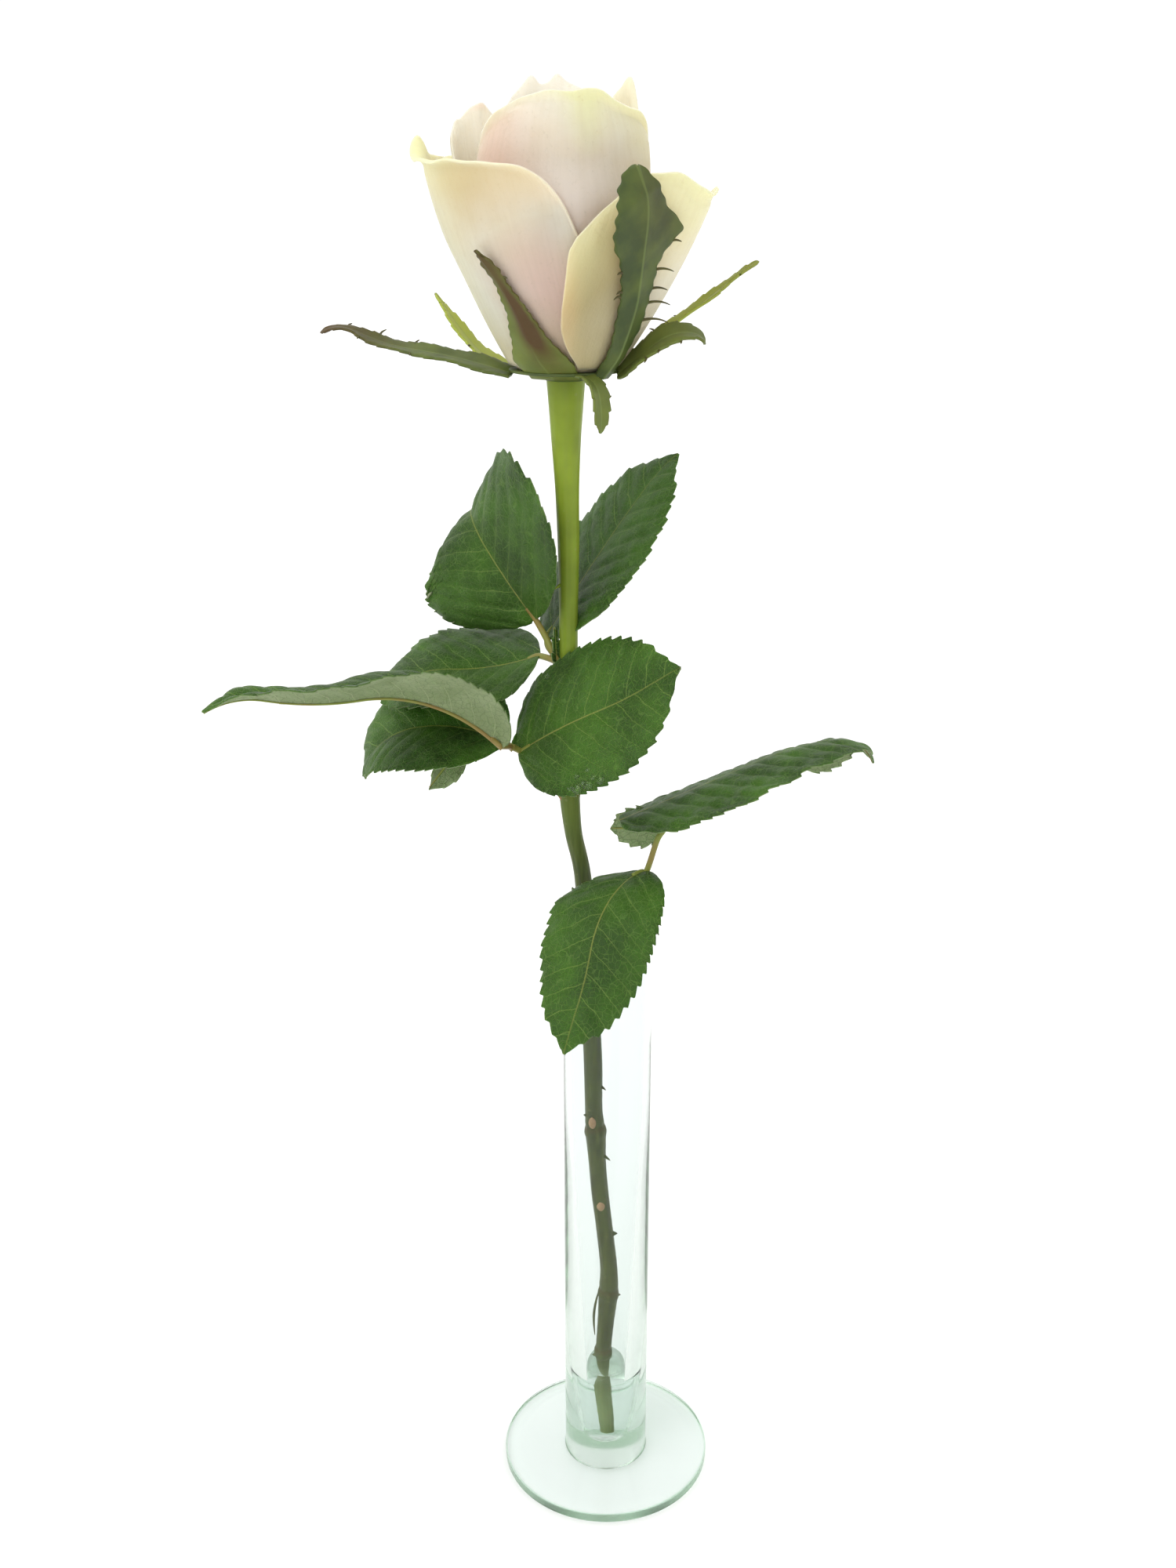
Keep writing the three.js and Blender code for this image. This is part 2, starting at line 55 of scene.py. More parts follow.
# The camera, in metres and degrees: in a frame 1500 by 2000 pixels its focal length is 2100 pixels.
CAMERA_AT = (-0.0053, -0.400, 0.357)
CAMERA_DOWN = 19.8
SENSOR = 36.0
LENS = 37.8


def linear(code):
    """An sRGB colour such as #a0b0c0 as linear red, green, blue and alpha, by the sRGB curve."""
    srgb = np.array([int(code[i:i + 2], 16) for i in (1, 3, 5)]) / 255
    rgb = np.where(srgb <= 0.04045, srgb / 12.92, ((srgb + 0.055) / 1.055) ** 2.4)
    return (*rgb.tolist(), 1.0)


def feed(tree, node, sockets):
    """Gives a node's sockets values, or links them to outputs. A node stands for its first output."""
    for key, value in sockets.items():
        if isinstance(value, bpy.types.Node):
            value = value.outputs[0]
        if isinstance(value, bpy.types.NodeSocket):
            tree.links.new(value, node.inputs[key])
        else:
            node.inputs[key].default_value = value


def add(tree, kind, sockets=None, **settings):
    """Adds a shader node, sets its properties and feeds its sockets."""
    made = tree.nodes.new("ShaderNode" + kind)
    for key, value in settings.items():
        setattr(made, key, value)
    feed(tree, made, sockets or {})
    return made


def laid_over(tree, ground, layers):
    """Colours laid one over another on a ground. Each layer is what it follows, the value of that at
    which it starts to show, the value at which it shows most, how strongly it shows there, its colour."""
    shade = linear(ground)
    for follows, start, most, strength, colour in layers:
        share = add(tree, "MapRange", {0: follows, 1: start, 2: most, 4: strength})
        shade = add(tree, "Mix", {0: share, 6: shade, 7: linear(colour)}, data_type="RGBA").outputs[2]
    return shade


def finish_of(name, sockets):
    """A new material: returns it, its node tree, its Principled shader and the place on the object."""
    made = bpy.data.materials.new(name)
    made.use_nodes = True
    tree = made.node_tree
    shader = tree.nodes["Principled BSDF"]
    feed(tree, shader, sockets)
    return made, tree, shader, add(tree, "TexCoord").outputs["Object"]


# Matt paper: nearly white, with fibres 0.4 mm wide that only just show.
paper, tree, shader, place = finish_of("matt_white_paper", {"Roughness": 0.95, "Specular IOR Level": 0.1})
fibre = add(tree, "TexNoise", {"Vector": place, "Scale": 2500.0, "Detail": 2.0})
feed(tree, shader, {"Base Color": laid_over(tree, "#f7f7f6", [(fibre, 0, 1, 1, "#fbfbfa")])})

sheet = bpy.data.meshes.new("floor")
sheet.from_pydata([(-FLOOR, -FLOOR, 0), (FLOOR, -FLOOR, 0), (FLOOR, FLOOR, 0), (-FLOOR, FLOOR, 0)],
                  [], [(0, 1, 2, 3)])
sheet.materials.append(paper)
floor = bpy.data.objects.new("floor", sheet)
scene.collection.objects.link(floor)

world = scene.world or bpy.data.worlds.new("World")
scene.world = world
world.use_nodes = True
tree = world.node_tree
towards = add(tree, "SeparateXYZ", {0: add(tree, "TexCoord").outputs["Generated"]}).outputs["Y"]
glow = add(tree, "MapRange", {0: towards, 1: -0.7, 2: 0.25, 3: ROOM, 4: BACKDROP},
           interpolation_type="SMOOTHSTEP")
feed(tree, tree.nodes["Background"], {"Color": linear("#ffffff"), "Strength": glow})

key = bpy.data.objects.new("key", bpy.data.lights.new("key", "SUN"))
key.data.energy = KEY
key.data.angle = np.radians(KEY_BREADTH)
level = np.hypot(KEY_FROM[0], KEY_FROM[1])
key.rotation_euler = (np.arctan2(level, KEY_FROM[2]), 0, np.arctan2(KEY_FROM[0], -KEY_FROM[1]))
scene.collection.objects.link(key)

camera = bpy.data.objects.new("camera", bpy.data.cameras.new("camera"))
camera.data.sensor_width = SENSOR
camera.data.lens = LENS
camera.data.clip_start = 0.01
camera.location = CAMERA_AT
camera.rotation_euler = (np.radians(90 - CAMERA_DOWN), 0, 0)
scene.collection.objects.link(camera)
scene.camera = camera
scene.view_settings.view_transform = "Standard"
# Light goes a long way round inside the glass before it comes out again.
scene.cycles.glossy_bounces = 64
scene.cycles.transmission_bounces = 64
scene.cycles.max_bounces = 80

# Vase. A tube of drawn soda-lime glass with a thick closed bottom, welded on a round flat foot whose
# underside is ground dull. Its bore narrows to a point in the bottom, where the glass looks green.
# The radii of the foot and the tube, and the heights of their tops.
FOOT = 30.0
FOOT_HEIGHT = 3.0
TUBE = 12.0
TUBE_TOP = 172.0
# Radius and height of the bore from its bottom up, and the height of the point below it.
BORE = [(2.6, 8), (3.7, 9.5), (4.6, 14), (5.6, 24), (6.6, 40), (7.6, 60), (8.8, 85), (9.8, 110), (10.3, 140)]
BORE_POINT = 7.6
# A turned profile starts and ends this far from its axis.
POLE = 0.01
VASE_STEP = 2.2
VASE_SIDES = 300


def through(stations, shares):
    """The smooth curve through the rows of stations, read at shares from 0 to 1 of the way.

    Between two stations each number follows the cubic that has the stations' values at its ends, and
    at each end the slope between the stations on both sides of it.
    """
    rows = np.asarray(stations, float)
    slopes = np.gradient(rows, axis=0)
    place = np.clip(np.asarray(shares, float), 0, 1) * (len(rows) - 1)
    k = np.minimum(place.astype(int), len(rows) - 2)
    u = (place - k)[..., None]
    return (rows[k] * (1 + 2 * u) * (1 - u) ** 2 + slopes[k] * u * (1 - u) ** 2
            + rows[k + 1] * u ** 2 * (3 - 2 * u) + slopes[k + 1] * u ** 2 * (u - 1))


def unit(vectors):
    """Vectors brought to length one: each over its own length."""
    return vectors / np.maximum(np.linalg.norm(vectors, axis=-1, keepdims=True), 1e-12)


def rounded(corners, radius, steps=6):
    """A profile whose inner corners are each replaced by a parabola that starts and ends a radius away,
    or 0.45 of the shorter side where that is less."""
    corners = np.asarray(corners, float)
    before = corners[:-2] - corners[1:-1]
    after = corners[2:] - corners[1:-1]
    shorter = np.minimum(np.linalg.norm(before, axis=1), np.linalg.norm(after, axis=1))
    reach = np.minimum(radius, 0.45 * shorter)[:, None]
    first = corners[1:-1] + unit(before) * reach
    last = corners[1:-1] + unit(after) * reach
    u = np.linspace(0, 1, steps)[None, :, None]
    arcs = first[:, None] * (1 - u) ** 2 + 2 * corners[1:-1, None] * u * (1 - u) + last[:, None] * u ** 2
    return np.vstack([corners[:1], arcs.reshape(-1, 2), corners[-1:]])


def finely(profile, step):
    """The profile with points added on its straight stretches, none further from the next than a step."""
    gaps = np.linalg.norm(np.diff(profile, axis=0), axis=1)
    counts = np.ceil(gaps / step).astype(int)
    at = np.concatenate([k + np.arange(count) / count for k, count in enumerate(counts)] + [[len(gaps)]])
    return np.stack([np.interp(at, np.arange(len(profile)), column) for column in profile.T], -1)


def closed_tube(rings):
    """A solid through rings of points, closed at each end by a fan round the middle of the end ring.

    Each ring runs anticlockwise seen from the last ring's side, so that the faces point outwards.
    """
    count, sides = rings.shape[:2]
    i, j = np.meshgrid(np.arange(count - 1), np.arange(sides), indexing="ij")
    k = (j + 1) % sides
    quads = np.stack([i * sides + j, i * sides + k, (i + 1) * sides + k, (i + 1) * sides + j], -1)
    around = np.arange(sides)
    after = (around + 1) % sides
    pole = np.full(sides, count * sides)
    end = (count - 1) * sides
    fans = np.vstack([np.stack([pole, after, around], -1),
                      np.stack([pole + 1, end + around, end + after], -1)])
    points = np.vstack([rings.reshape(-1, 3), rings[0].mean(0), rings[-1].mean(0)])
    return {"points": points, "quads": quads.reshape(-1, 4), "fans": fans}


def round_axis(radius, angle, height):
    """Points round the Z axis: the radius times cosine and sine of the angle, and the height."""
    return np.stack(np.broadcast_arrays(radius * np.cos(angle), radius * np.sin(angle), height), -1)


def turned(profile, sides):
    """A profile of radius and height turned all the way round the Z axis, in even steps of the angle."""
    radius, height = np.asarray(profile, float).T[..., None]
    return closed_tube(round_axis(radius, np.linspace(0, 2 * np.pi, sides, endpoint=False), height))


def piece_of(name, parts, finishes, nodes):
    """One object from parts in millimetres, each with its finish's number and its marks for the finish.

    Every point carries two vectors that the finishes read, its mark and its tint: what they hold is
    said where each part is made. The piece rides on the root body and stands for the CAD nodes.
    """
    starts = np.cumsum([0] + [len(part["points"]) for part in parts])
    quads = np.vstack([part["quads"] + start for part, start in zip(parts, starts)])
    fans = np.vstack([part.get("fans", np.zeros((0, 3), int)) + start for part, start in zip(parts, starts)])
    corners = np.concatenate([quads.ravel(), fans.ravel()])
    first = np.concatenate([np.arange(len(quads)) * 4, 4 * len(quads) + np.arange(len(fans)) * 3])
    numbers = np.concatenate([np.full(len(part.get(kind, [])), part.get("finish", 0))
                              for kind in ("quads", "fans") for part in parts])
    mesh = bpy.data.meshes.new(name)
    mesh.vertices.add(starts[-1])
    mesh.vertices.foreach_set("co", (np.vstack([part["points"] for part in parts]) * MM).ravel())
    mesh.loops.add(len(corners))
    mesh.loops.foreach_set("vertex_index", corners.astype(np.int32))
    mesh.polygons.add(len(first))
    mesh.polygons.foreach_set("loop_start", first.astype(np.int32))
    mesh.polygons.foreach_set("material_index", numbers.astype(np.int32))
    mesh.polygons.foreach_set("use_smooth", np.ones(len(first), bool))
    for key in ("mark", "tint"):
        values = [part.get(key, np.zeros((len(part["points"]), 3))) for part in parts]
        layer = mesh.attributes.new(key, "FLOAT_VECTOR", "POINT")
        layer.data.foreach_set("vector", np.vstack(values).astype(np.float32).ravel())
    mesh.update(calc_edges=True)
    for finish in finishes:
        mesh.materials.append(finish)
    made = bpy.data.objects.new(name, mesh)
    scene.collection.objects.link(made)
    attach(made, "root")
    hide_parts(*nodes)


def let_by(tree, shader):
    """Lets lamplight through a clear surface, as a thin one does: only shadow rays see it open."""
    path = add(tree, "LightPath").outputs["Is Shadow Ray"]
    both = add(tree, "MixShader", {0: path, 1: shader, 2: add(tree, "BsdfTransparent")})
    feed(tree, tree.nodes["Material Output"], {"Surface": both})


# Soda-lime glass: clear, and green only where light goes a long way through it, from its iron. The foot's
# underside, its lowest millimetre, is dull, and its edge shows the green most. The grey specular tint
# dims what it reflects of the white studio.
glass, tree, shader, place = finish_of("soda_lime_glass", {
    "IOR": 1.48, "Transmission Weight": 1.0, "Specular Tint": (0.35, 0.35, 0.35, 1.0)})
level = add(tree, "SeparateXYZ", {0: place}).outputs["Z"]
dull = add(tree, "MapRange", {0: level, 1: 0.0012, 2: 0.0006, 3: 0.0, 4: 0.2})
flat = add(tree, "VectorMath", {0: place, 1: (1, 1, 0)}, operation="MULTIPLY")
out = add(tree, "VectorMath", {0: flat}, operation="LENGTH").outputs["Value"]
shade = laid_over(tree, "#f7fafa", [(out, 0.0294, 0.0298, 1, "#bcd8c2")])
feed(tree, shader, {"Roughness": dull, "Base Color": shade})
green = add(tree, "VolumeAbsorption", {"Color": linear("#a7c8ab"), "Density": 22.0})
feed(tree, tree.nodes["Material Output"], {"Volume": green})
let_by(tree, shader)

outside = rounded([(POLE, 0.5), (FOOT - 4, 0.4), (FOOT - 1, 0.06), (FOOT, 0.2), (FOOT, FOOT_HEIGHT),
                   (TUBE, FOOT_HEIGHT), (TUBE, TUBE_TOP), (BORE[-1][0], TUBE_TOP), (BORE[-1][0], 150)], 0.6)
bore = through(BORE[::-1], np.linspace(0, 1, 60))
profile = finely(np.vstack([outside[:-1], bore, [(POLE, BORE_POINT)]]), VASE_STEP)
piece_of("glass_vase", [turned(profile, VASE_SIDES)], [glass], ["vase_foot", "vase_tube"])

# Water. Tap water, poured in: it wets the glass, so it reaches a hair into the wall, and its surface
# climbs a little at the wall where it clings to the glass.
WATER_LEVEL = 31.0
WATER_CLIMB = 2.2
WATER_SIDES = 96
# Still water: clear, with water's own refraction and a mirror-smooth surface.
water_finish, tree, shader, place = finish_of("still_water", {
    "Base Color": linear("#ffffff"), "Roughness": 0.0, "IOR": 1.33, "Transmission Weight": 1.0})
let_by(tree, shader)
wet = bore[bore[:, 1] < WATER_LEVEL][::-1] + [0.05, 0.0]
brim = wet[-1, 0]
inwards = np.linspace(1, 0.03, 40)
surface = np.stack([brim * inwards, WATER_LEVEL + WATER_CLIMB * np.exp(-(1 - inwards) * brim / 2)], -1)
profile = np.vstack([[(POLE, BORE_POINT - 0.1)], wet, surface])
piece_of("water", [turned(profile, WATER_SIDES)], [water_finish], ["water"])

# Stem. A green, woody rose stem cut to length. It swells at each node, leans on the rim of the tube,
# and carries the scars of its side shoots and a few short prickles. Old wood at its foot is olive.
STEM_RINGS = 900
STEM_SIDES = 40
# Stations from the cut up: x, y, z and radius.
STEM = [
    (0.4, 1.1, 9.4, 1.3), (0.1, 1.4, 15, 1.45), (-0.5, 1.4, 24, 1.6), (-0.9, 1, 33, 2.1),
    (-0.9, 0.9, 36, 2.6), (-0.6, 0.7, 40, 2.4), (0, 0.4, 48, 2.5), (0.7, -0.1, 58, 2.85),
    (0.7, -0.5, 66, 2.5), (-0.7, -1.1, 80, 2.35), (-1.9, -1.6, 91, 2.4), (-2.7, -2.1, 102, 2.4),
    (-3.2, -2.5, 112, 2.75), (-3.7, -2.9, 119, 2.35), (-3.9, -3.5, 134, 2.45), (-4.7, -4.4, 156, 2.3),
    (-5.6, -5.1, 176, 2.4), (-6.8, -5.5, 191, 2.15), (-9, -5.8, 202, 2.2), (-10, -6, 213, 2.55),
    (-10.1, -6.3, 221, 2.2), (-10, -6.7, 246, 2.2), (-10, -6.9, 260, 2.3), (-10, -7.2, 276, 2.6),
    (-10.3, -7.5, 290, 2.85), (-10.5, -7.8, 302, 3.5), (-10.5, -7.9, 309, 4), (-10.5, -8, 316.5, 4.6),
]
# The heights of the nodes, where it swells.
NODES = (36, 57, 112, 178, 213, 246)
# Where each prickle or stub leaves the stem, where its point is, and its radius at the root.
PRICKLES = [
    ((0.4, -1, 77), (3.1, -1.5, 78.6), 1.3), ((0.8, -0.2, 56), (4.3, -0.4, 57.2), 1.2),
    ((-3.6, -3, 116), (-6.3, -4.4, 119), 1.2), ((-0.9, 1, 34), (-4.4, 0.2, 36), 1.3),
    ((-2, -2.4, 104.5), (0.9, -4, 104.1), 0.7), ((-3, -3, 127), (-0.4, -4.4, 126.6), 0.7),
    ((-10, -7, 268), (-13.4, -8.4, 267), 0.9),
]
# A dry brown bud in the axil of an old leaf and the oval scar of a shoot: both ends and the radius.
SCALES = [((-3.8, -4.7, 114), (-4.1, -5.6, 118), 0.9), ((-1.5, -3.15, 86.4), (-1.8, -3.25, 90.2), 1.1)]


def rod(path, radii, sides, finish=0):
    """A closed rod along a path. Its rings lie square to the path's slope, and their points are the
    radius times the cosine of one cross direction and the sine of the other away from the path."""
    along = unit(np.gradient(path, axis=0))
    fixed = np.array([0.36, 0.48, 0.8])
    first = unit(fixed - along * (along @ fixed)[:, None])
    second = np.cross(along, first)
    angle = np.linspace(0, 2 * np.pi, sides, endpoint=False)
    radii = radii[:, None] if radii.ndim == 1 else radii
    rings = (path[:, None] + (radii * np.cos(angle))[..., None] * first[:, None]
             + (radii * np.sin(angle))[..., None] * second[:, None])
    return {**closed_tube(rings), "finish": finish}


def between(start, end, share):
    """The points of the straight line from start to end at each share of the way."""
    return np.array(start) * (1 - share) + np.array(end) * share


# The stem itself: its mark holds how near a point is to the ring at a node.
line = through(STEM, np.linspace(0, 1, STEM_RINGS))
around = np.linspace(0, 2 * np.pi, STEM_SIDES, endpoint=False)
height = line[:, 2:3]
swell = sum(0.3 * np.exp(-((height - node) / 1.3) ** 2) - 0.14 * np.exp(-((height - node - 2.2) / 0.7) ** 2)
            for node in NODES)
ribs = 0.05 * np.cos(5 * around + height / 30) + 0.04 * np.cos(11 * around - height / 14)
bark = 0.03 * np.sin(height * 1.9 + 2 * np.sin(3 * around)) * np.exp(-height / 120)
main = rod(line[:, :3], line[:, 3:] + swell + ribs + bark, STEM_SIDES)
ring = sum(np.exp(-((height - node - 1.6) / 0.7) ** 2) for node in NODES)
main["mark"] = np.concatenate([np.repeat(ring, STEM_SIDES), [0, 0]])[:, None] * [1, 0, 0]
stem_parts = [main]
for root, point, radius in PRICKLES:
    bend = np.linspace(0, 1, 12)[:, None]
    path = between(root, point, bend) - [0, 0, 1] * (0.8 * bend ** 2)
    stem_parts.append(rod(path, radius * (1 - bend[:, 0]) ** 0.8 + 0.06, 12))
for foot, tip, radius in SCALES:
    grow = np.linspace(0, 1, 16)[:, None]
    girth = 0.1 + radius * np.sin(np.pi * grow[:, 0]) ** 0.7
    stem_parts.append(rod(between(foot, tip, grow), girth, 14, finish=1))
# A torn strip of bark.
peel = np.linspace(0, 1, 30)[:, None]
path = between([-1.9, -0.6, 59], [-3.2, -0.7, 43], peel) + [-1, 0, 0] * np.sin(3 * peel)
stem_parts.append(rod(path, 0.12 + 0.28 * np.sin(np.pi * peel[:, 0]), 8))

# Living rose bark: waxy green towards the flower, olive towards the cut and paler in the water, with brown
# rings at the nodes and pale pores 0.3 mm wide, drawn up to 0.8 mm wide so that they show.
bark_finish, tree, shader, place = finish_of("rose_bark", {
    "Roughness": 0.42, "Specular IOR Level": 0.2, "Subsurface Weight": 0.1, "Subsurface Scale": 0.002})
level = add(tree, "SeparateXYZ", {0: place}).outputs["Z"]
streak = add(tree, "Mapping", {"Vector": place, "Scale": (900.0, 900.0, 60.0)})
grain = add(tree, "TexNoise", {"Vector": streak, "Scale": 1.0, "Detail": 4.0})
patch = add(tree, "TexNoise", {"Vector": place, "Scale": 90.0, "Detail": 3.0})
pores = add(tree, "TexVoronoi", {"Vector": place, "Scale": 320.0})
mark = add(tree, "Attribute", attribute_name="mark").outputs["Vector"]
rings = add(tree, "SeparateXYZ", {0: mark})
raised = add(tree, "Bump", {"Height": grain, "Strength": 0.25, "Distance": 0.0004})
feed(tree, shader, {"Normal": raised, "Base Color": laid_over(tree, "#394422", [
    (level, 0.19, 0.235, 1, "#6d8424"), (level, 0.215, 0.3, 1, "#83972c"), (level, 0.2, 0.06, 1, "#3f4422"),
    (level, 0.04, 0.022, 1, "#7d8c5c"), (patch, 0.4, 0.7, 0.3, "#353a1c"),
    (grain, 0.35, 0.75, 0.25, "#7f8c44"), (pores, 0.16, 0.1, 0.22, "#8f9160"),
    (rings, 0, 1, 0.55, "#4a3d20")])})

# Dry bud scale and scar: papery and pale orange brown.
scale_finish, tree, shader, place = finish_of("dry_bud_scale", {"Roughness": 0.6})
mottle = add(tree, "TexNoise", {"Vector": place, "Scale": 900.0})
feed(tree, shader, {"Base Color": laid_over(tree, "#866744", [(mottle, 0, 1, 1, "#b0926c")])})

piece_of("stem", stem_parts, [bark_finish, scale_finish], ["stem"])

# Leaves. Three compound leaves, their toothed leaflets folded along the rib and quilted between the
# side veins, on thin grooved stalks. Where a leaflet hangs or turns over it shows its paler underside.
LEAF_THICK = 0.4
VEIN_PITCH = 6.0
TOOTH_PITCH = 2.9
RIB_STEPS = 240
# Rows and columns of points on a leaflet, and on a stipule, a lobe or another blade under 20 mm long.
LEAF_MESH = (221, 49)
SMALL_LEAF_MESH = (71, 25)
# A leaflet starts at its base by its heading round from X, its rise, and its roll that lifts the left
# half. Its rib bends down by its arch over each half and by its hook over the last fifth, sways to the
# left and twists on. The left and the right half are folded up from the rib and cupped, and the tuck
# folds the foot of the right half further. All of these are degrees, and the rest are millimetres:
# how far the teeth stand out, the blade bulges between the veins and the margin waves. The power root
# says how blunt its foot is. A leaflet before the stem is kept clear of it. What isn't said is as here.
PLAIN_LEAF = dict(arch=(0, 0), hook=0, sway=0, twist=0, cup=(0, 0), tuck=0, teeth=0.95, quilt=0.42,
                  wave=0.3, root=0.5, before_stem=False)
LEAFLETS = {
    "leaf_upper": [
        dict(base=(-18.6, -3.5, 258), heading=173, rise=52, roll=-104, length=42, width=54, arch=(18, 95),
             twist=28, fold=(-12, 35), cup=(-25, 0)),
        dict(base=(-15.4, 2.7, 251.8), heading=24, rise=55, roll=-11, length=56, width=40, arch=(2, 4),
             hook=13, sway=-5, twist=13, fold=(9, 0), cup=(-9, -15)),
        dict(base=(-17.9, -0.5, 247.3), heading=170, rise=-22, roll=-31, length=45, width=41, arch=(-29, 62),
             hook=-33, sway=3, fold=(20, -2), cup=(-8, -21)),
        dict(base=(-12.6, -8.2, 241.5), heading=110, rise=82, roll=20, length=15, width=3, arch=(5, -10),
             fold=(20, 20), quilt=0.05),
    ],
    "leaf_middle": [
        dict(base=(-26.1, -30, 233.4), heading=174, rise=44, roll=53, length=74, width=37, arch=(55, -29),
             hook=52, sway=-2, twist=-20, fold=(9, 59), cup=(-13, -100), tuck=34),
        dict(base=(-22, -13.4, 226.3), heading=-26, rise=37, roll=48, length=49, width=40, arch=(15, -28),
             hook=17, sway=-2, twist=10, fold=(14, 9), cup=(-20, -20), before_stem=True),
        dict(base=(-26.7, -15, 229.6), heading=167, rise=22, roll=-10, length=45, width=35, arch=(36, 59),
             hook=13, sway=7, twist=2, fold=(2, 31), cup=(-25, -7)),
        dict(base=(-36.5, -10.9, 227.3), heading=200, rise=-50, roll=165, length=14, width=11,
             fold=(10, 10), quilt=0.2, teeth=0.4),
        dict(base=(-24, -11.5, 227), heading=20, rise=15, roll=60, length=9, width=6, arch=(20, 30),
             fold=(10, 10), quilt=0.1),
    ],
    "leaf_lower": [
        dict(base=(3.3, -15, 208.9), heading=6, rise=22, roll=9, length=71, width=38.5, arch=(0, 27),
             hook=68, sway=4, twist=-8, fold=(-30, 0), cup=(9, 7), quilt=0.7),
        dict(base=(13.2, -9.5, 205.4), heading=186, rise=-6, roll=100, length=13.5, width=10.5,
             arch=(-20, -20), fold=(5, 5), cup=(-10, -10), quilt=0.2),
        dict(base=(49, -12, 221.8), heading=3, rise=21, roll=-95, length=13, width=6, arch=(0, 20),
             fold=(5, 5), quilt=0.1),
        dict(base=(8.3, -16.1, 195.1), heading=224, rise=-1, roll=18, length=53, width=31, arch=(71, -23),
             hook=21, sway=-5, twist=-39, fold=(-7, 7), cup=(-22, -14), root=0.43),
    ],
}
# The stations of each leaf's stalks, of which the first leaves the stem.
STALKS = {
    "leaf_upper": [
        [(-10.5, -6.8, 244), (-13.2, -6.6, 248.4), (-15.6, -5, 253), (-18.6, -3.5, 258),
         (-20.4, -3.3, 260.3)],
        [(-13.6, -6.4, 249.4), (-15.3, -1.5, 250.3), (-15.4, 2.7, 251.8), (-14, 3.3, 254)],
        [(-12.9, -6.7, 247.6), (-15.5, -3.6, 247.7), (-17.9, -0.5, 247.3), (-20.3, -0.1, 246.4)],
    ],
    "leaf_middle": [
        [(-10.5, -6.2, 210), (-14, -7.6, 215.4), (-19, -10.2, 222.5), (-22, -13, 226.3), (-24.5, -17, 228.8),
         (-26.1, -30, 233.4), (-28.2, -29.8, 235.5)],
        [(-21.7, -12.6, 225.4), (-21.8, -13.2, 226.2), (-19.4, -14.6, 228.4)],
        [(-23.6, -15.6, 227.9), (-26.7, -15, 229.6), (-29.3, -14.4, 230.9)],
        [(-25.5, -15.4, 229.2), (-30, -11.8, 228.8), (-36.5, -10.9, 227.3), (-37.6, -11.2, 226)],
    ],
    "leaf_lower": [
        [(-5.5, -5.2, 176.5), (-1, -9, 182), (5, -13.8, 189.5), (9, -16, 194.3), (12, -16, 203.7),
         (14, -15.4, 207.3), (13.4, -14.2, 212.9)],
        [(9, -16, 194.3), (8.3, -16.1, 195.1), (6, -18.2, 195.2)],
    ],
}
# Drops from misting lie along the lower margin of the leaflet in front: row, column and width.
LEAF_DROPS = [(62, 3, 1.8), (70, 2, 2.6), (78, 3, 1.6), (84, 2, 2.2), (92, 4, 1.4), (99, 2, 1.9),
              (74, 6, 1.2), (88, 7, 1.0), (60, 44, 1.5)]


def turn_about(vector, axis, angle):
    """Rodrigues' turn of a vector square to the axis: cosine of itself plus sine of axis cross itself."""
    return vector * np.cos(angle) + np.cross(axis, vector) * np.sin(angle)


def rib_of(leaf):
    """The rib's points, and at each the directions along, left and up.

    The rib starts at the base, by its heading, rise and roll. At every step it bends down by its arch
    of that half, and by its hook over the last fifth, sways sideways and twists about itself.
    """
    heading, rise, roll = np.radians([leaf["heading"], leaf["rise"], leaf["roll"]])
    level = np.array([np.cos(heading), np.sin(heading), 0])
    along = level * np.cos(rise) + [0, 0, np.sin(rise)]
    up = turn_about(-level * np.sin(rise) + [0, 0, np.cos(rise)], along, roll)
    left = np.cross(up, along)
    sway, twist = np.radians([leaf["sway"], leaf["twist"]]) / RIB_STEPS
    point = np.array(leaf["base"], float)
    rows = []
    for k in range(RIB_STEPS + 1):
        rows.append((point, along, left, up))
        middle = (k + 0.5) / RIB_STEPS
        droop = 2 * leaf["arch"][middle > 0.5] + (5 * leaf["hook"] if middle > 0.8 else 0)
        droop = np.radians(droop) / RIB_STEPS
        point = point + along * leaf["length"] / RIB_STEPS
        along, up = turn_about(along, left, droop), turn_about(up, left, droop)
        along, left = turn_about(along, up, sway), turn_about(left, up, sway)
        left, up = turn_about(left, along, twist), turn_about(up, along, twist)
    return [np.array(column) for column in zip(*rows)]


def normals_of(grid):
    """Unit normals of a grid of points: the slope along the rows cross the slope along the columns."""
    return unit(np.cross(np.gradient(grid, axis=0), np.gradient(grid, axis=1)))


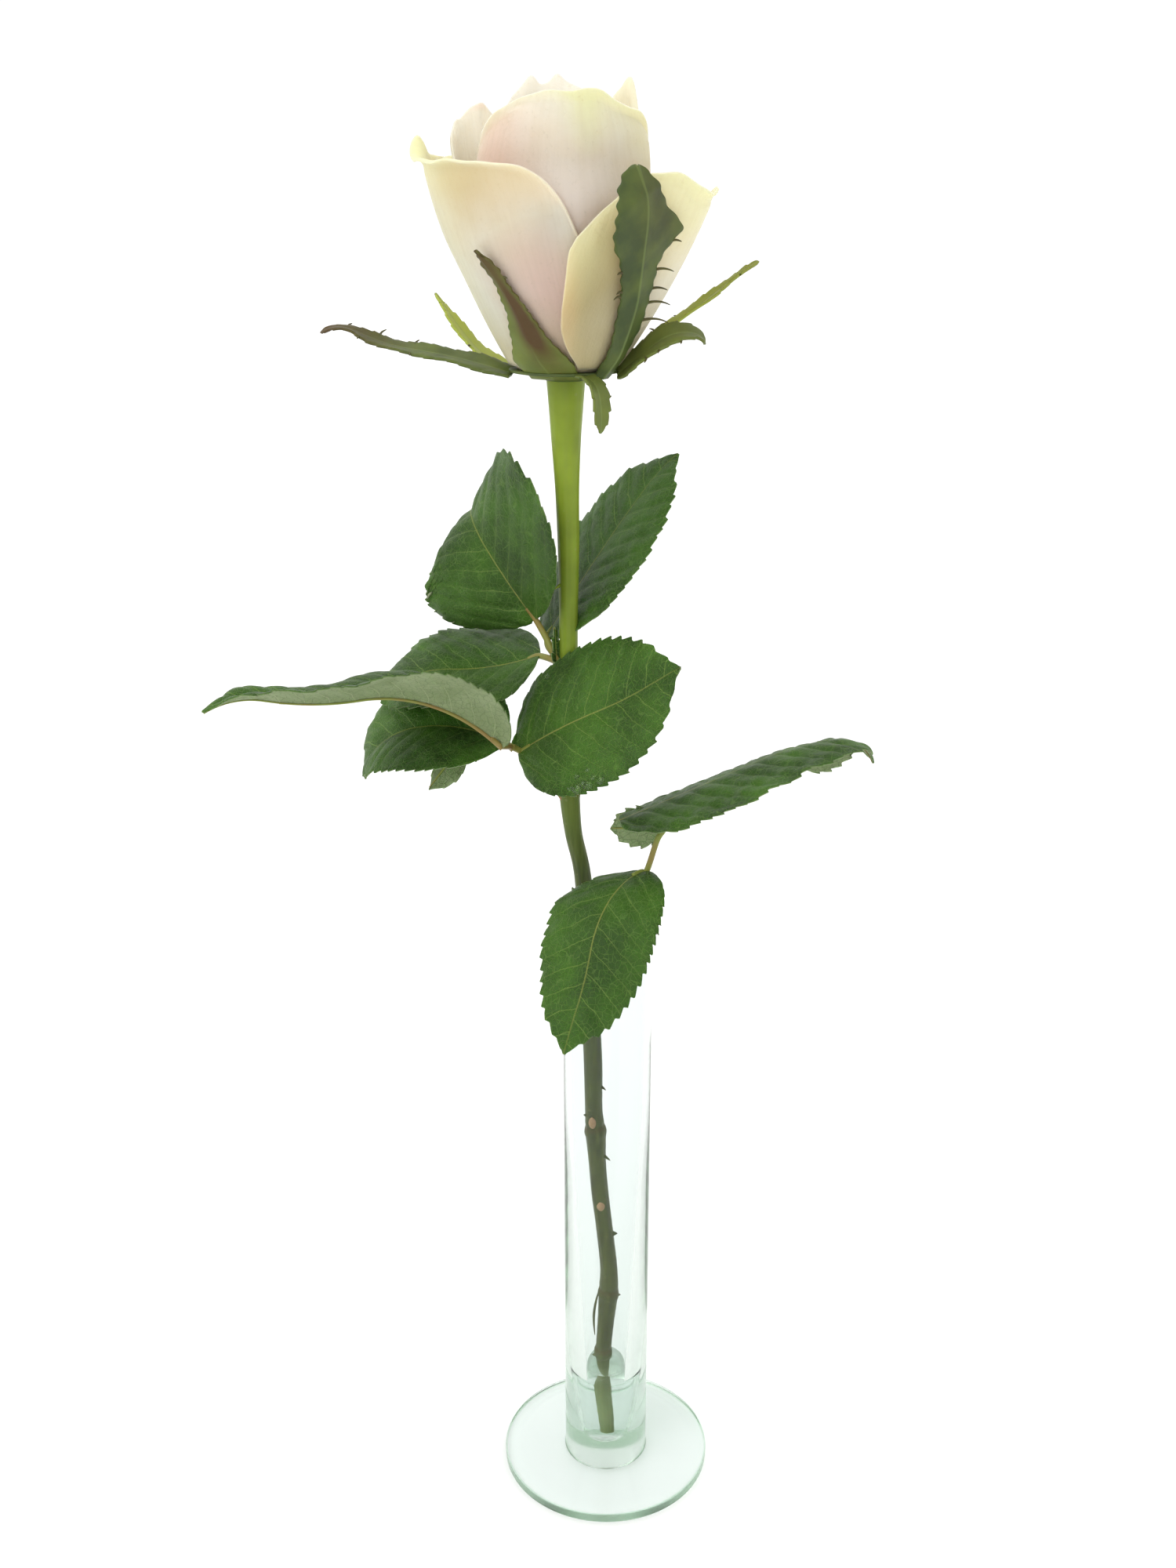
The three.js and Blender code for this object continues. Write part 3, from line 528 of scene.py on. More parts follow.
def closed_blade(grid, thick, marks, tint=(0, 0, 0)):
    """A blade of even thickness over a grid: the grid moved half of it along its normals either way,
    joined round the edge. To its two marks comes a third, 0 on the upper side and 1 on the underside."""
    rows, columns = grid.shape[:2]
    lift = normals_of(grid) * thick / 2
    points = np.vstack([(grid + lift).reshape(-1, 3), (grid - lift).reshape(-1, 3)])
    i, j = np.meshgrid(np.arange(rows - 1), np.arange(columns - 1), indexing="ij")
    a = (i * columns + j).ravel()
    upper = np.stack([a, a + columns, a + columns + 1, a + 1], -1)
    count = rows * columns
    across, down = np.arange(columns - 1), np.arange(rows - 1)
    edge = np.concatenate([across, down * columns + columns - 1,
                           count - 1 - across, (rows - 1 - down) * columns])
    after = np.roll(edge, -1)
    sides = np.stack([edge, after, count + after, count + edge], -1)
    even = np.zeros((rows, columns))
    mark = [np.stack([even + marks[0], even + marks[1], even + under], -1) for under in (0, 1)]
    tint = np.stack([even + value for value in tint], -1)
    return {"points": points, "quads": np.vstack([upper, upper[:, ::-1] + count, sides]),
            "mark": np.vstack(mark).reshape(-1, 3), "tint": np.vstack([tint, tint]).reshape(-1, 3)}


def leaf_outline(s, root):
    """Half the width along the rib: it grows as the root's power, then tapers, with greatest value one."""
    widest = root / (root + 0.75)
    body = np.clip(s + 0.012, 0, 1) ** root * np.clip(1 - s, 0, 1) ** 0.75
    body = body / ((widest + 0.012) ** root * (1 - widest) ** 0.75)
    return body * (1 - 0.6 * np.clip((s - 0.84) / 0.16, 0, 1) ** 1.3)


def leaf_grid(leaf, outline, rows, columns):
    """The middle surface of a leaflet with its marks: millimetres along and across.

    A point lies across from the rib by its share of the half width, turned up by the side's fold and
    cup. On the margin saw teeth are added, that rise slowly and fall off quickly towards the tip.
    Between the side veins, which run out and forwards, the blade bulges up, and its margin waves.
    """
    s = np.linspace(-0.011, 0.997, rows)
    point, along, left, up = rib_of(leaf)
    k = np.clip(np.rint(s * RIB_STEPS).astype(int), 0, RIB_STEPS)
    centre = point[k] + along[k] * ((s - k / RIB_STEPS) * leaf["length"])[:, None]
    along, left, up = along[k][:, None], left[k][:, None], up[k][:, None]
    spread = np.linspace(-1, 1, columns)
    v = np.sign(spread) * np.abs(spread) ** 0.85
    share = np.abs(v)[None, :]
    side = (v < 0).astype(int)
    fold, cup = np.array(leaf["fold"])[side], np.array(leaf["cup"])[side]
    tuck = leaf["tuck"] * side * np.exp(-(s[:, None] / 0.42) ** 4)
    angle = np.radians(fold + cup * np.abs(v) / 2 + tuck)
    phase = (s * leaf["length"] / TOOTH_PITCH)[:, None] % 1
    saw = np.where(phase < 0.82, phase / 0.82, (1 - phase) / 0.18)
    lively = np.clip(s / 0.06, 0, 1) * np.clip((1 - s) / 0.12, 0, 1)
    tooth = leaf["teeth"] * (saw - 0.45) * lively[:, None] * np.clip((share - 0.84) / 0.16, 0, 1) ** 1.3
    reach = 0.5 * leaf["width"] * outline(s)[:, None] * share + tooth
    grid = (centre[:, None] + left * (np.sign(v) * reach * np.cos(angle))[..., None]
            + up * (reach * np.sin(angle))[..., None] + along * np.maximum(tooth, 0)[..., None])
    if leaf["before_stem"]:
        # What would lie less than 0.9 mm before the stem's front, or behind it, comes forward to there.
        stem_x, stem_y, stem_z, stem_radius = np.transpose(STEM)
        front = np.interp(grid[..., 2], stem_z, stem_y - stem_radius) - 0.9
        aside = grid[..., 0] - np.interp(grid[..., 2], stem_z, stem_x)
        grid[..., 1] -= np.maximum(grid[..., 1] - front, 0) * np.exp(-(aside / 9) ** 4)
    x = (s * leaf["length"])[:, None] + 0 * share
    number = (x - 0.55 * reach - 0.012 * reach ** 2) / VEIN_PITCH + 0.5 * (v > 0)
    gap = np.abs(number - np.rint(number)) * 2
    bulge = np.sin(np.pi / 2 * np.clip(gap * 1.3, 0, 1)) * np.clip(reach / 3, 0, 1) * (1 - share ** 6)
    crumple = np.sin(x * 0.55 + 1.3 * np.sin(reach * 0.5)) * np.sin(reach * 0.48 + side * 2 + x * 0.11)
    wave = leaf["wave"] * share ** 3 * np.sin(2 * np.pi * (number * 0.45 + 0.2 * v))
    relief = leaf["quilt"] * (bulge + 0.6 * crumple * share ** 0.5) + wave
    grid = grid + normals_of(grid) * relief[..., None]
    return grid, (x, np.sign(v) * reach)


def leaflet(leaf):
    """A leaflet's blade, and under it the rib as a thin rod that thins out towards the tip."""
    rows, columns = LEAF_MESH if leaf["length"] > 20 else SMALL_LEAF_MESH
    grid, marks = leaf_grid(leaf, lambda s: leaf_outline(s, leaf["root"]), rows, columns)
    path = (grid - normals_of(grid) * 0.28)[::4, columns // 2]
    rib = rod(path, np.linspace(0.55, 0.14, len(path)), 10, finish=1)
    return [closed_blade(grid, LEAF_THICK, marks), rib]


def stalk(stations, radius=0.85):
    """A leaf stalk through its stations, thicker at its root, with a groove along its upper side."""
    share = np.linspace(0, 1, 70)
    around = np.linspace(0, 2 * np.pi, 16, endpoint=False)
    taper = 1 + 0.35 * np.exp(-share * 14) - 0.35 * share ** 3
    radii = radius * taper[:, None] * (1 - 0.1 * np.exp(-(around - 2.0) ** 2))
    return rod(through(stations, share), radii, 16, finish=1)


def drop(surface, row, column, size):
    """A flat drop on a surface of points: an ellipse with the width size, domed by a third of that."""
    normal = normals_of(surface)[row, column]
    along = unit(surface[row + 1, column] - surface[row, column])
    aside = np.cross(normal, along)
    profile = [(POLE, -0.3), (0.5, -0.2), (0.49, 0.06), (0.4, 0.2), (0.24, 0.3), (POLE, 0.34)]
    part = turned(rounded(profile, 0.1), 20)
    part["points"] = surface[row, column] + size * part["points"] @ np.stack([aside, along * -1.25, normal])
    part["finish"] = 2
    return part


# Rose leaf: a dark, satin upper side with a faint, paler net of veins, and a matt grey-green underside.
# The side veins are 6 mm apart and 0.3 mm wide, the net's meshes 1.6 mm, and the finest 0.55 mm.
leaf_finish, tree, shader, place = finish_of("rose_leaf", {
    "Specular IOR Level": 0.17, "Subsurface Weight": 0.35, "Subsurface Scale": 0.0014,
    "Subsurface Radius": (0.6, 1.0, 0.4)})
mark = add(tree, "Attribute", attribute_name="mark").outputs["Vector"]
along, across, under = add(tree, "SeparateXYZ", {0: mark}).outputs
out = add(tree, "Math", {0: across}, operation="ABSOLUTE")
# The side veins lie where the blade's bulges meet: where along, less 0.55 of out and 0.012 of its square,
# is a whole number of pitches, half a pitch further on the left half. A noise bends them a little.
warp = add(tree, "TexNoise", {"Vector": mark, "Scale": 0.16}).outputs["Color"]
swung = add(tree, "VectorMath", {0: warp, 1: (2.0, 2.0, 0.0), 2: mark}, operation="MULTIPLY_ADD")
swung = add(tree, "SeparateXYZ", {0: swung})
square = add(tree, "Math", {0: out, 1: out}, operation="MULTIPLY")
lean = add(tree, "Math", {0: out, 1: -0.55, 2: swung}, operation="MULTIPLY_ADD")
curved = add(tree, "Math", {0: square, 1: -0.012, 2: lean}, operation="MULTIPLY_ADD")
other = add(tree, "Math", {0: across, 1: 0.0}, operation="GREATER_THAN")
shift = add(tree, "Math", {0: other, 1: VEIN_PITCH / 2, 2: curved}, operation="MULTIPLY_ADD")
near = add(tree, "Math", {0: shift, 1: VEIN_PITCH / 2}, operation="PINGPONG")
line = add(tree, "MapRange", {0: near, 1: 0.2, 2: 0.05})
fading = add(tree, "MapRange", {0: out, 1: 16.0, 2: 4.0, 3: 0.15})
side_vein = add(tree, "Math", {0: line, 1: fading}, operation="MULTIPLY")
line = add(tree, "MapRange", {0: out, 1: 0.27, 2: 0.1})
fading = add(tree, "MapRange", {0: along, 1: 50.0, 2: 6.0, 3: 0.25, 4: 0.85})
rib_line = add(tree, "Math", {0: line, 1: fading}, operation="MULTIPLY")
bent = add(tree, "VectorMath", {0: warp, 1: (2.5, 2.5, 0.0), 2: mark}, operation="MULTIPLY_ADD")
net = add(tree, "TexVoronoi", {"Vector": bent, "Scale": 1 / 1.6}, feature="DISTANCE_TO_EDGE")
net_line = add(tree, "MapRange", {0: net, 1: 0.06, 2: 0.015})
fine_net = add(tree, "TexVoronoi", {"Vector": bent, "Scale": 1 / 0.55}, feature="DISTANCE_TO_EDGE")
fine_line = add(tree, "MapRange", {0: fine_net, 1: 0.14, 2: 0.03})
patch = add(tree, "TexNoise", {"Vector": place, "Scale": 75.0, "Detail": 2.0})
upper = laid_over(tree, "#2e471a", [
    (patch, 0.35, 0.65, 1, "#41631f"), (net_line, 0, 1, 0.3, "#6f8c45"), (fine_line, 0, 1, 0.1, "#66843c"),
    (side_vein, 0, 1, 0.36, "#8aa054"), (rib_line, 0, 1, 1, "#939a4e")])
lower = laid_over(tree, "#7c8a62", [
    (patch, 0.35, 0.65, 1, "#8f9b76"), (net_line, 0, 1, 0.5, "#5f7049"), (side_vein, 0, 1, 0.5, "#a3ad86")])
both = add(tree, "Mix", {0: under, 6: upper, 7: lower}, data_type="RGBA").outputs[2]
rough = add(tree, "MapRange", {0: under, 3: 0.42, 4: 0.7})
relief = add(tree, "Math", {0: net_line, 1: fine_line}, operation="ADD")
relief = add(tree, "Math", {0: relief, 1: side_vein}, operation="ADD")
dent = add(tree, "Bump", {"Height": relief, "Strength": 0.6, "Distance": 0.0002}, invert=True)
feed(tree, shader, {"Base Color": both, "Roughness": rough, "Normal": dent})

# Leaf stalk and rib: smooth and yellow-green, flushed red brown in places.
stalk_finish, tree, shader, place = finish_of("leaf_stalk", {"Roughness": 0.45, "Specular IOR Level": 0.35})
flush = add(tree, "TexNoise", {"Vector": place, "Scale": 70.0, "Detail": 2.0})
feed(tree, shader, {"Base Color": laid_over(tree, "#7f8b3c", [(flush, 0.45, 0.68, 1, "#86683a")])})

for name, rows in LEAFLETS.items():
    parts = sum([leaflet({**PLAIN_LEAF, **leaf}) for leaf in rows], [])
    parts += [stalk(path) for path in STALKS[name]]
    if name == "leaf_middle":
        in_front = parts[2]["points"].reshape(2, *LEAF_MESH, 3)[0]
        parts += [drop(in_front, *where) for where in LEAF_DROPS]
    piece_of(name, parts, [leaf_finish, stalk_finish, water_finish], [name])

# Bloom. A half-open garden rose: large outer petals whose rims roll outwards, and inner ones wrapped
# in a spiral about a closed heart. Petals are thick and velvety, cream with a pink flush and yellow rims.
# The foot of the bloom's upright axis, and how far above it the petals start.
AXIS = np.array([-10.5, -8.0, 318.3])
PETAL_LOW = 1.2
PETAL_THICK = 0.5
# The share of a petal's rows that lie below its crest, the rest being its lip.
CREST_AT = 0.8
# A petal's turn and span in degrees round the axis, and its radii at the foot, belly and crest. At even
# places from its first side edge to its other: its laps, by which it lies outside its own round, the
# heights of its crest, the length and the curl of the lip beyond, and close, by which the rim comes in.
# At even places up the petal: left, the degrees by which its first side edge stands further round. With t
# from 0 at the foot to 1 at the rim and v from -1 to 1 across: spots of pink, of painted shade that darkens
# to tan, of painted light that whitens, and of gilt, each as t, v, their reach in t and v, and their
# strength; and creases as v and t at each end, width and depth. Mesh is its rows and columns of points.
# What isn't said is as here.
PLAIN_PETAL = dict(laps=(1, -1), lip=(3, 3), close=(0, 0), left=(0, 0), pink=(), painted_shade=(), painted_light=(), gilt=(),
                   creases=(), mesh=(50, 64))
PETALS = [
    dict(turn=215, span=126, radii=(12.4, 24.7, 30.4), mesh=(64, 96),
         crest=(44.6, 44.8, 44.8, 44.8, 43.4, 43, 43.2, 43.2, 43.2, 43.2, 43.2, 42.8, 42.2, 40.6, 38.5,
                34, 27),
         lip=(1.6, 1.6, 2, 6.5, 5.4, 4.6, 4, 3.8, 3.6, 3, 2.6, 2.5, 2.4, 2.3, 2.2, 2.1, 2),
         curl=(20, 20, 30, 40, 105, 118, 118, 120, 125, 118, 110, 90, 70, 55, 40, 30, 25),
         close=(0, 0, 0, 0, 0, 0.3, 1.5, 3.8, 5),
         pink=((0.45, 0.85, 0.45, 0.6, 0.78), (0.25, 0.5, 0.3, 0.55, 0.4)),
         gilt=((1, -0.5, 0.2, 0.5, 0.8), (0.5, -0.4, 0.8, 0.4, 0.3)),
         painted_shade=((0.76, 0.25, 0.22, 0.7, 0.95), (0.2, -0.1, 0.2, 0.6, 0.3)),
         creases=((-0.1, 0.62, 0.35, 0.75, 0.1, -0.5), (-0.5, 0.5, -0.2, 0.95, 0.14, 0.7))),
    dict(turn=331, span=114, laps=(1, 0.3), radii=(12.4, 24.7, 32), mesh=(64, 90),
         crest=(27, 33.5, 39, 39.6, 35.6, 35.4, 36.4, 33, 27), lip=(2.4, 2.4, 2.6, 3, 4, 4, 3.5, 3, 2.6),
         curl=(12, 12, 20, 30, 70, 60, 60, 60, 40), close=(6.5, 5, 2.2, 0.5, 0, 0, 0, 0, 0),
         left=(9, -1, -5.5, -5.5, -4.2, -3, -2, 0, 2), pink=((0.3, -0.7, 0.25, 0.2, 0.25),),
         gilt=((0.8, -1, 0.3, 0.4, 0.4), (0.9, -0.1, 0.35, 0.8, 0.7)), painted_shade=((0.45, -0.75, 0.6, 0.5, 1.2),),
         creases=((-0.85, 0.3, -0.8, 0.8, 0.07, 0.35),)),
    dict(turn=68, span=112, laps=(-1.6, -1), radii=(12.4, 23.2, 28.5), mesh=(50, 66),
         crest=(36, 38, 40, 40.5, 40, 40.5, 40, 38, 37), lip=(2, 3, 3, 3, 3, 3, 3, 2.4, 1.5),
         curl=(20, 70, 110, 80, 60, 100, 110, 40, 0), pink=((0.5, 0, 0.4, 0.5, 0.4),),
         gilt=((1, 0, 0.3, 1, 0.6),)),
    dict(turn=143, span=104, radii=(12.4, 24, 29.2), mesh=(50, 62),
         crest=(36, 40, 42, 43.5, 44, 43.5, 43, 42.5, 42), lip=(3, 3, 3, 3, 3, 3, 2.6, 2, 1.5),
         curl=(50, 80, 110, 90, 60, 80, 40, 0, 0), pink=((0.5, 0, 0.4, 0.5, 0.3),),
         gilt=((1, 0, 0.3, 1, 0.6),)),
    dict(turn=143, span=96, radii=(11.4, 22, 25), mesh=(54, 64),
         crest=(43, 47, 51, 52.5, 54.6, 52, 50, 46.5, 41), curl=(20, 20, 20, 10, 5, 40, 50, 45, 30),
         pink=((0.97, 0, 0.06, 0.12, 0.5),), painted_light=((0.7, 0, 0.5, 1, 0.65),),
         creases=((0.05, 0.55, 0, 1, 0.09, -1),)),
    dict(turn=275, span=160, radii=(9.6, 25, 18.8), mesh=(80, 110), lip=(2.5, 2.5),
         crest=(45, 48.3, 50.5, 52.4, 54, 55.1, 55.8, 56, 56.2, 56.5, 56.3, 54.4, 53.7, 52.9, 51.8,
                49.6, 44.5),
         curl=(-20, 10, 20, 15, 10, 30, 45, 50, 30),
         pink=((0.62, -0.7, 0.3, 0.4, 0.9), (0.4, 0.1, 0.25, 0.6, 0.6)),
         gilt=((0.92, 0.12, 0.3, 0.16, 0.9), (1, 0.3, 0.2, 0.5, 0.5), (0.75, 0.7, 0.4, 0.4, 0.3)),
         painted_light=((0.36, 0.15, 0.25, 0.9, 1.3),),
         creases=((-0.42, 0.82, 0.1, 0.68, 0.05, 0.8), (0.95, 0.8, 0.3, 0.72, 0.05, 0.8),
                  (0.85, 0.72, 0.44, 0.64, 0.04, 0.5), (0, 0.2, 0, 0.55, 0.5, 3.2))),
    dict(turn=27, span=100, radii=(9.4, 21, 16.2), mesh=(50, 60),
         crest=(36, 40, 44, 49.5, 58.8, 57.5, 55, 52.5, 50), lip=(3, 3, 3, 3.2, 3.6, 3.2, 3, 3, 3),
         curl=(20, 20, 30, 30, 35, 25, 20, 20, 20), gilt=((0.9, 0, 0.3, 1, 0.15),)),
    dict(turn=104, span=112, radii=(8.2, 19.6, 16),
         crest=(50, 52, 54, 55.8, 57.5, 58.8, 59.6, 61, 59, 58.8, 60.6, 58.8, 57, 55.6, 54, 52, 50),
         curl=(20, 25, 40, 20, 10, 10, 40, 30, 20), painted_light=((0.9, 0, 0.4, 1, 0.7),)),
]
# The seven petals of the heart, from outside in, each the same to both sides: turn, span, radii, crest
# and curl from an edge to the middle, lip and mesh.
for turn, span, radii, crest, curl, lip, mesh in (
        (215, 130, (7.2, 17.6, 14.4), (46, 49, 51, 52, 52), (10, 20, 30, 40, 50), 3, (36, 50)),
        (335, 130, (6.2, 15.4, 12.4), (46, 49, 51, 52, 52), (10, 20, 30, 40, 40), 3, (36, 50)),
        (75, 150, (5.2, 13, 10.4), (48, 51, 53, 54, 54), (0, 10, 20, 30, 40), 2.6, (36, 50)),
        (215, 180, (4.4, 10.6, 8.2), (48, 51, 52.5, 53.4, 53.4), (0, 0, 10, 20, 30), 2.4, (30, 50)),
        (335, 200, (3.8, 8, 6.2), (48, 50.5, 52, 52.8, 52.8), (0, 0, 0, 10, 20), 2, (30, 44)),
        (90, 230, (3.2, 6, 4.4), (47, 49.5, 51, 52, 52), (0, 0, 0, 0, 0), 2, (26, 40)),
        (230, 260, (2.6, 4, 2.6), (46, 48.5, 50, 51, 51), (0, 0, 0, 0, 0), 2, (26, 36))):
    PETALS.append(dict(turn=turn, span=span, radii=radii, crest=crest + crest[-2::-1],
                       curl=curl + curl[-2::-1], lip=(lip, lip), mesh=mesh))
PETALS = [{**PLAIN_PETAL, **shape} for shape in PETALS]
# The closed core that the petals stand on and wrap: radius and height.
CORE = [(POLE, 0), (11.2, 0), (13, 2.4), (11, 6), (5, 10), (2.4, 18), (1.6, 48), (POLE, 50.5)]


def petal_radius(radii, share):
    """The petal's radius at a share of the way from foot to crest: a parabola pulled by the belly."""
    foot, belly, crest = radii
    return foot * (1 - share) ** 2 + 2 * belly * share * (1 - share) + crest * share ** 2


def lap_at(shape, v):
    """How far the petal lies outside its own round at v: its first lap at one edge, its last at the other."""
    first, last = shape["laps"]
    return (first + last) / 2 + (last - first) / 2 * v


def places(values, share):
    """Values given at even places, read smoothly at a share of the way from the first to the last."""
    return through(np.array(values, float)[:, None], share)[..., 0]


def spots(rows, t, v):
    """The sum of soft spots: each is its strength times a bell of the distance in t and v over its reach."""
    total = 0 * (t + v)
    for at_t, at_v, tall, wide, strength in rows:
        total = total + strength * np.exp(-((t - at_t) / tall) ** 2 - ((v - at_v) / wide) ** 2)
    return total


def creased(rows, t, v):
    """Creases along lines in v and t: depth times a bell of the distance from the line, faded at its ends."""
    total = 0 * (t + v)
    for v1, t1, v2, t2, width, depth in rows:
        long = np.hypot(v2 - v1, t2 - t1)
        ahead = ((v - v1) * (v2 - v1) + (t - t1) * (t2 - t1)) / long ** 2
        aside = ((v - v1) * (t2 - t1) - (t - t1) * (v2 - v1)) / long
        fade = np.clip(np.minimum(ahead + 0.3, 1.3 - ahead) / 0.45, 0, 1)
        total = total + depth * np.exp(-(aside / width) ** 2) * fade ** 2 * (3 - 2 * fade)
    return total


def petal(shape, number):
    """One petal, with marks in millimetres up and across it, and in its tint its pink less its painted
    shade, its gilt and rim less its painted light, and its height.

    Up to its crest the height grows evenly and the radius follows its parabola, one side edge a lap
    further out than the other, less close times the square of the rise. Beyond the crest the lip runs on
    along an arc that turns outwards by the curl. Soft folds run up the petal, its creases cross it, and
    fine waves run along its lip.
    """
    rows, columns = shape["mesh"]
    t = np.linspace(0, 1, rows)[:, None]
    v = np.linspace(-1, 1, columns)[None, :]
    crest, lip, curl, close = [places(shape[key], (v + 1) / 2) for key in ("crest", "lip", "curl", "close")]
    curl = np.radians(curl) + 1e-4
    rise = np.clip(t / CREST_AT, 0, 1)
    beyond = np.clip((t - CREST_AT) / (1 - CREST_AT), 0, 1)
    radius = petal_radius(shape["radii"], rise) + lap_at(shape, v) - close * rise ** 2
    radius = radius + lip * (1 - np.cos(curl * beyond)) / curl
    height = PETAL_LOW + rise * (crest - PETAL_LOW) + lip * np.sin(curl * beyond) / curl
    scale = shape["radii"][2] / 32
    folds = np.sin(5.1 * v + number * 1.7) + 0.6 * np.sin(9.3 * v - 3 * t + number)
    radius = radius + 0.3 * scale * folds * t ** 2 + creased(shape["creases"], t, v)
    frill = np.sin(13 * v + number * 2.1) + 0.7 * np.sin(23 * v + number)
    height = height + 0.3 * scale * frill * t ** 8 * (1 - 0.8 * v ** 4)
    first_edge = places(shape["left"], t) * np.clip((0.2 - v) / 1.2, 0, 1) ** 2
    angle = np.radians(shape["turn"] + 0.5 * shape["span"] * v + first_edge)
    arc = np.radians(shape["span"] / 2) * v * shape["radii"][2]
    marks = (t * 45, arc * (0.5 + 0.5 * t) + 60 * number)
    rim = 0.15 * np.exp(-((1 - t) / 0.05) ** 2) + 0.15 * np.clip((t - 0.7) / 0.3, 0, 1)
    pink, painted_shade, gilt, painted_light = [spots(shape[key], t, v) for key in ("pink", "painted_shade", "gilt", "painted_light")]
    # Painted shade pulls the first tint value below nought, towards tan, and painted light pulls the second
    # below nought, towards near white.
    tint = (pink - painted_shade, gilt + rim - painted_light, t)
    return closed_blade(AXIS + round_axis(radius, angle, height), PETAL_THICK, marks, tint)


core = turned(rounded(CORE, 1.0), 64)
core["points"] += AXIS

# Rose petal: velvety cream, pinker where it was folded in the bud and yellow-green towards the rim,
# with faint veins 1.2 mm apart that fan up it, tan clouds 15 mm wide, and crepe 0.5 mm wide. Light soaks
# in and glows out of its thin edges.
petal_finish, tree, shader, place = finish_of("rose_petal", {
    "Roughness": 0.65, "Specular IOR Level": 0.12, "Subsurface Weight": 0.8, "Subsurface Scale": 0.004,
    "Subsurface Radius": (1.0, 0.88, 0.75), "Sheen Weight": 0.1, "Sheen Roughness": 0.4})
mark = add(tree, "Attribute", attribute_name="mark").outputs["Vector"]
tint = add(tree, "Attribute", attribute_name="tint").outputs["Vector"]
pink, gilt, up = add(tree, "SeparateXYZ", {0: tint}).outputs
cloud = add(tree, "TexNoise", {"Vector": place, "Scale": 65.0, "Detail": 3.0})
stretched = add(tree, "Mapping", {"Vector": mark, "Scale": (0.05, 0.85, 0.0)})
vein = add(tree, "TexNoise", {"Vector": stretched, "Scale": 1.0, "Detail": 3.0})
fleck = add(tree, "TexNoise", {"Vector": place, "Scale": 1100.0, "Detail": 2.0})
crepe = add(tree, "Math", {0: fleck, 1: vein}, operation="ADD")
dent = add(tree, "Bump", {"Height": crepe, "Strength": 0.3, "Distance": 0.0003})
# Over the cream: tan painted shade and near-white painted light where the first and second tint values fall
# below nought, then the pink and the gilt where they rise above it.
feed(tree, shader, {"Normal": dent, "Base Color": laid_over(tree, "#dacbae", [
    (cloud, 0.35, 0.65, 1, "#e4dac3"), (pink, 0, -1, 1, "#a99a70"), (gilt, 0, -1, 1, "#fff3de"),
    (pink, 0, 1, 1, "#edbcaa"), (gilt, 0, 1, 1, "#dcdaa2"), (up, 0.35, 0, 0.55, "#b9a877"),
    (vein, 0.42, 0.75, 0.1, "#b99c74"), (fleck, 0.62, 0.75, 0.12, "#a98f63")])})

bloom_parts = [petal(shape, number) for number, shape in enumerate(PETALS)]
piece_of("bloom", bloom_parts + [core], [petal_finish], ["bloom"])

# Calyx. The green dish at the top of the hip with its sepals, grown as one. Two sepals still lie
# against the bud, the others have opened, and most carry thin side lobes like whiskers.
# The middle of the calyx, and the dish's profile from there: radius and height.
CALYX = np.array([-10.5, -8.0, 316.8])
DISH = [(POLE, -1.2), (4.4, -1.2), (7, 0), (13.2, 1), (13.2, 1.6), (POLE, 1.6)]
SEPAL_THICK = 0.6
PRESSED_THICK = 0.55
# How far a pressed sepal lies outside its petal.
PRESSED_OFF = 0.7
SEPAL_MESH = (121, 21)
PRESSED_MESH = (121, 25)
# Open sepals are given as leaflets are, from the calyx's middle. Form is the powers of their width at the
# root and at the tip, tip is how brown they end, and young is how pale a green they are. Whiskers are the
# share of the way along, the side and the length.
SEPALS = [
    dict(base=(-12.9, -0.2, 0.3), heading=171, rise=17, roll=-11, length=47, width=8.7, arch=(10, -31),
         hook=69, fold=(6, 11), cup=(-4, -2), form=(0.1, 0.55), tip=0.9, young=0.1,
         whiskers=((0.5, 1, 2), (0.52, -1, 2.5), (0.7, -1, 3.5), (0.78, 1, 2), (0.86, -1, 2.5))),
    dict(base=(-11.2, 6.4, 0.6), heading=154, rise=3, roll=1, length=29, width=7.5, arch=(-42, -9),
         fold=(9, 9), form=(0.2, 0.7), tip=0, young=1, whiskers=((0.45, 1, 2),)),
    dict(base=(13, 2.3, 0.6), heading=7, rise=45, roll=3, length=40, width=6.3, arch=(11, -8),
         hook=9, sway=-4, twist=4, fold=(14, 12), form=(0.1, 0.45), tip=0.4, young=0.9,
         whiskers=((0.3, 1, 3), (0.45, 1, 2), (0.33, -1, 2))),
    dict(base=(12.3, -5.6, 0.6), heading=-20, rise=41, roll=33, length=24, width=8.7, arch=(6, 75),
         hook=31, twist=4, fold=(10, 10), form=(0.4, 0.5), tip=0.1, young=0.2,
         whiskers=((0.35, -1, 3), (0.5, -1, 2), (0.7, -1, 2), (0.6, 1, 1.5))),
    dict(base=(3.1, -11.6, 0.6), heading=-42, rise=12, roll=-4, length=16, width=6, arch=(85, 20),
         fold=(13, 13), form=(0.5, 0.7), tip=0, young=0.2, whiskers=((0.5, 1, 1.2),)),
]
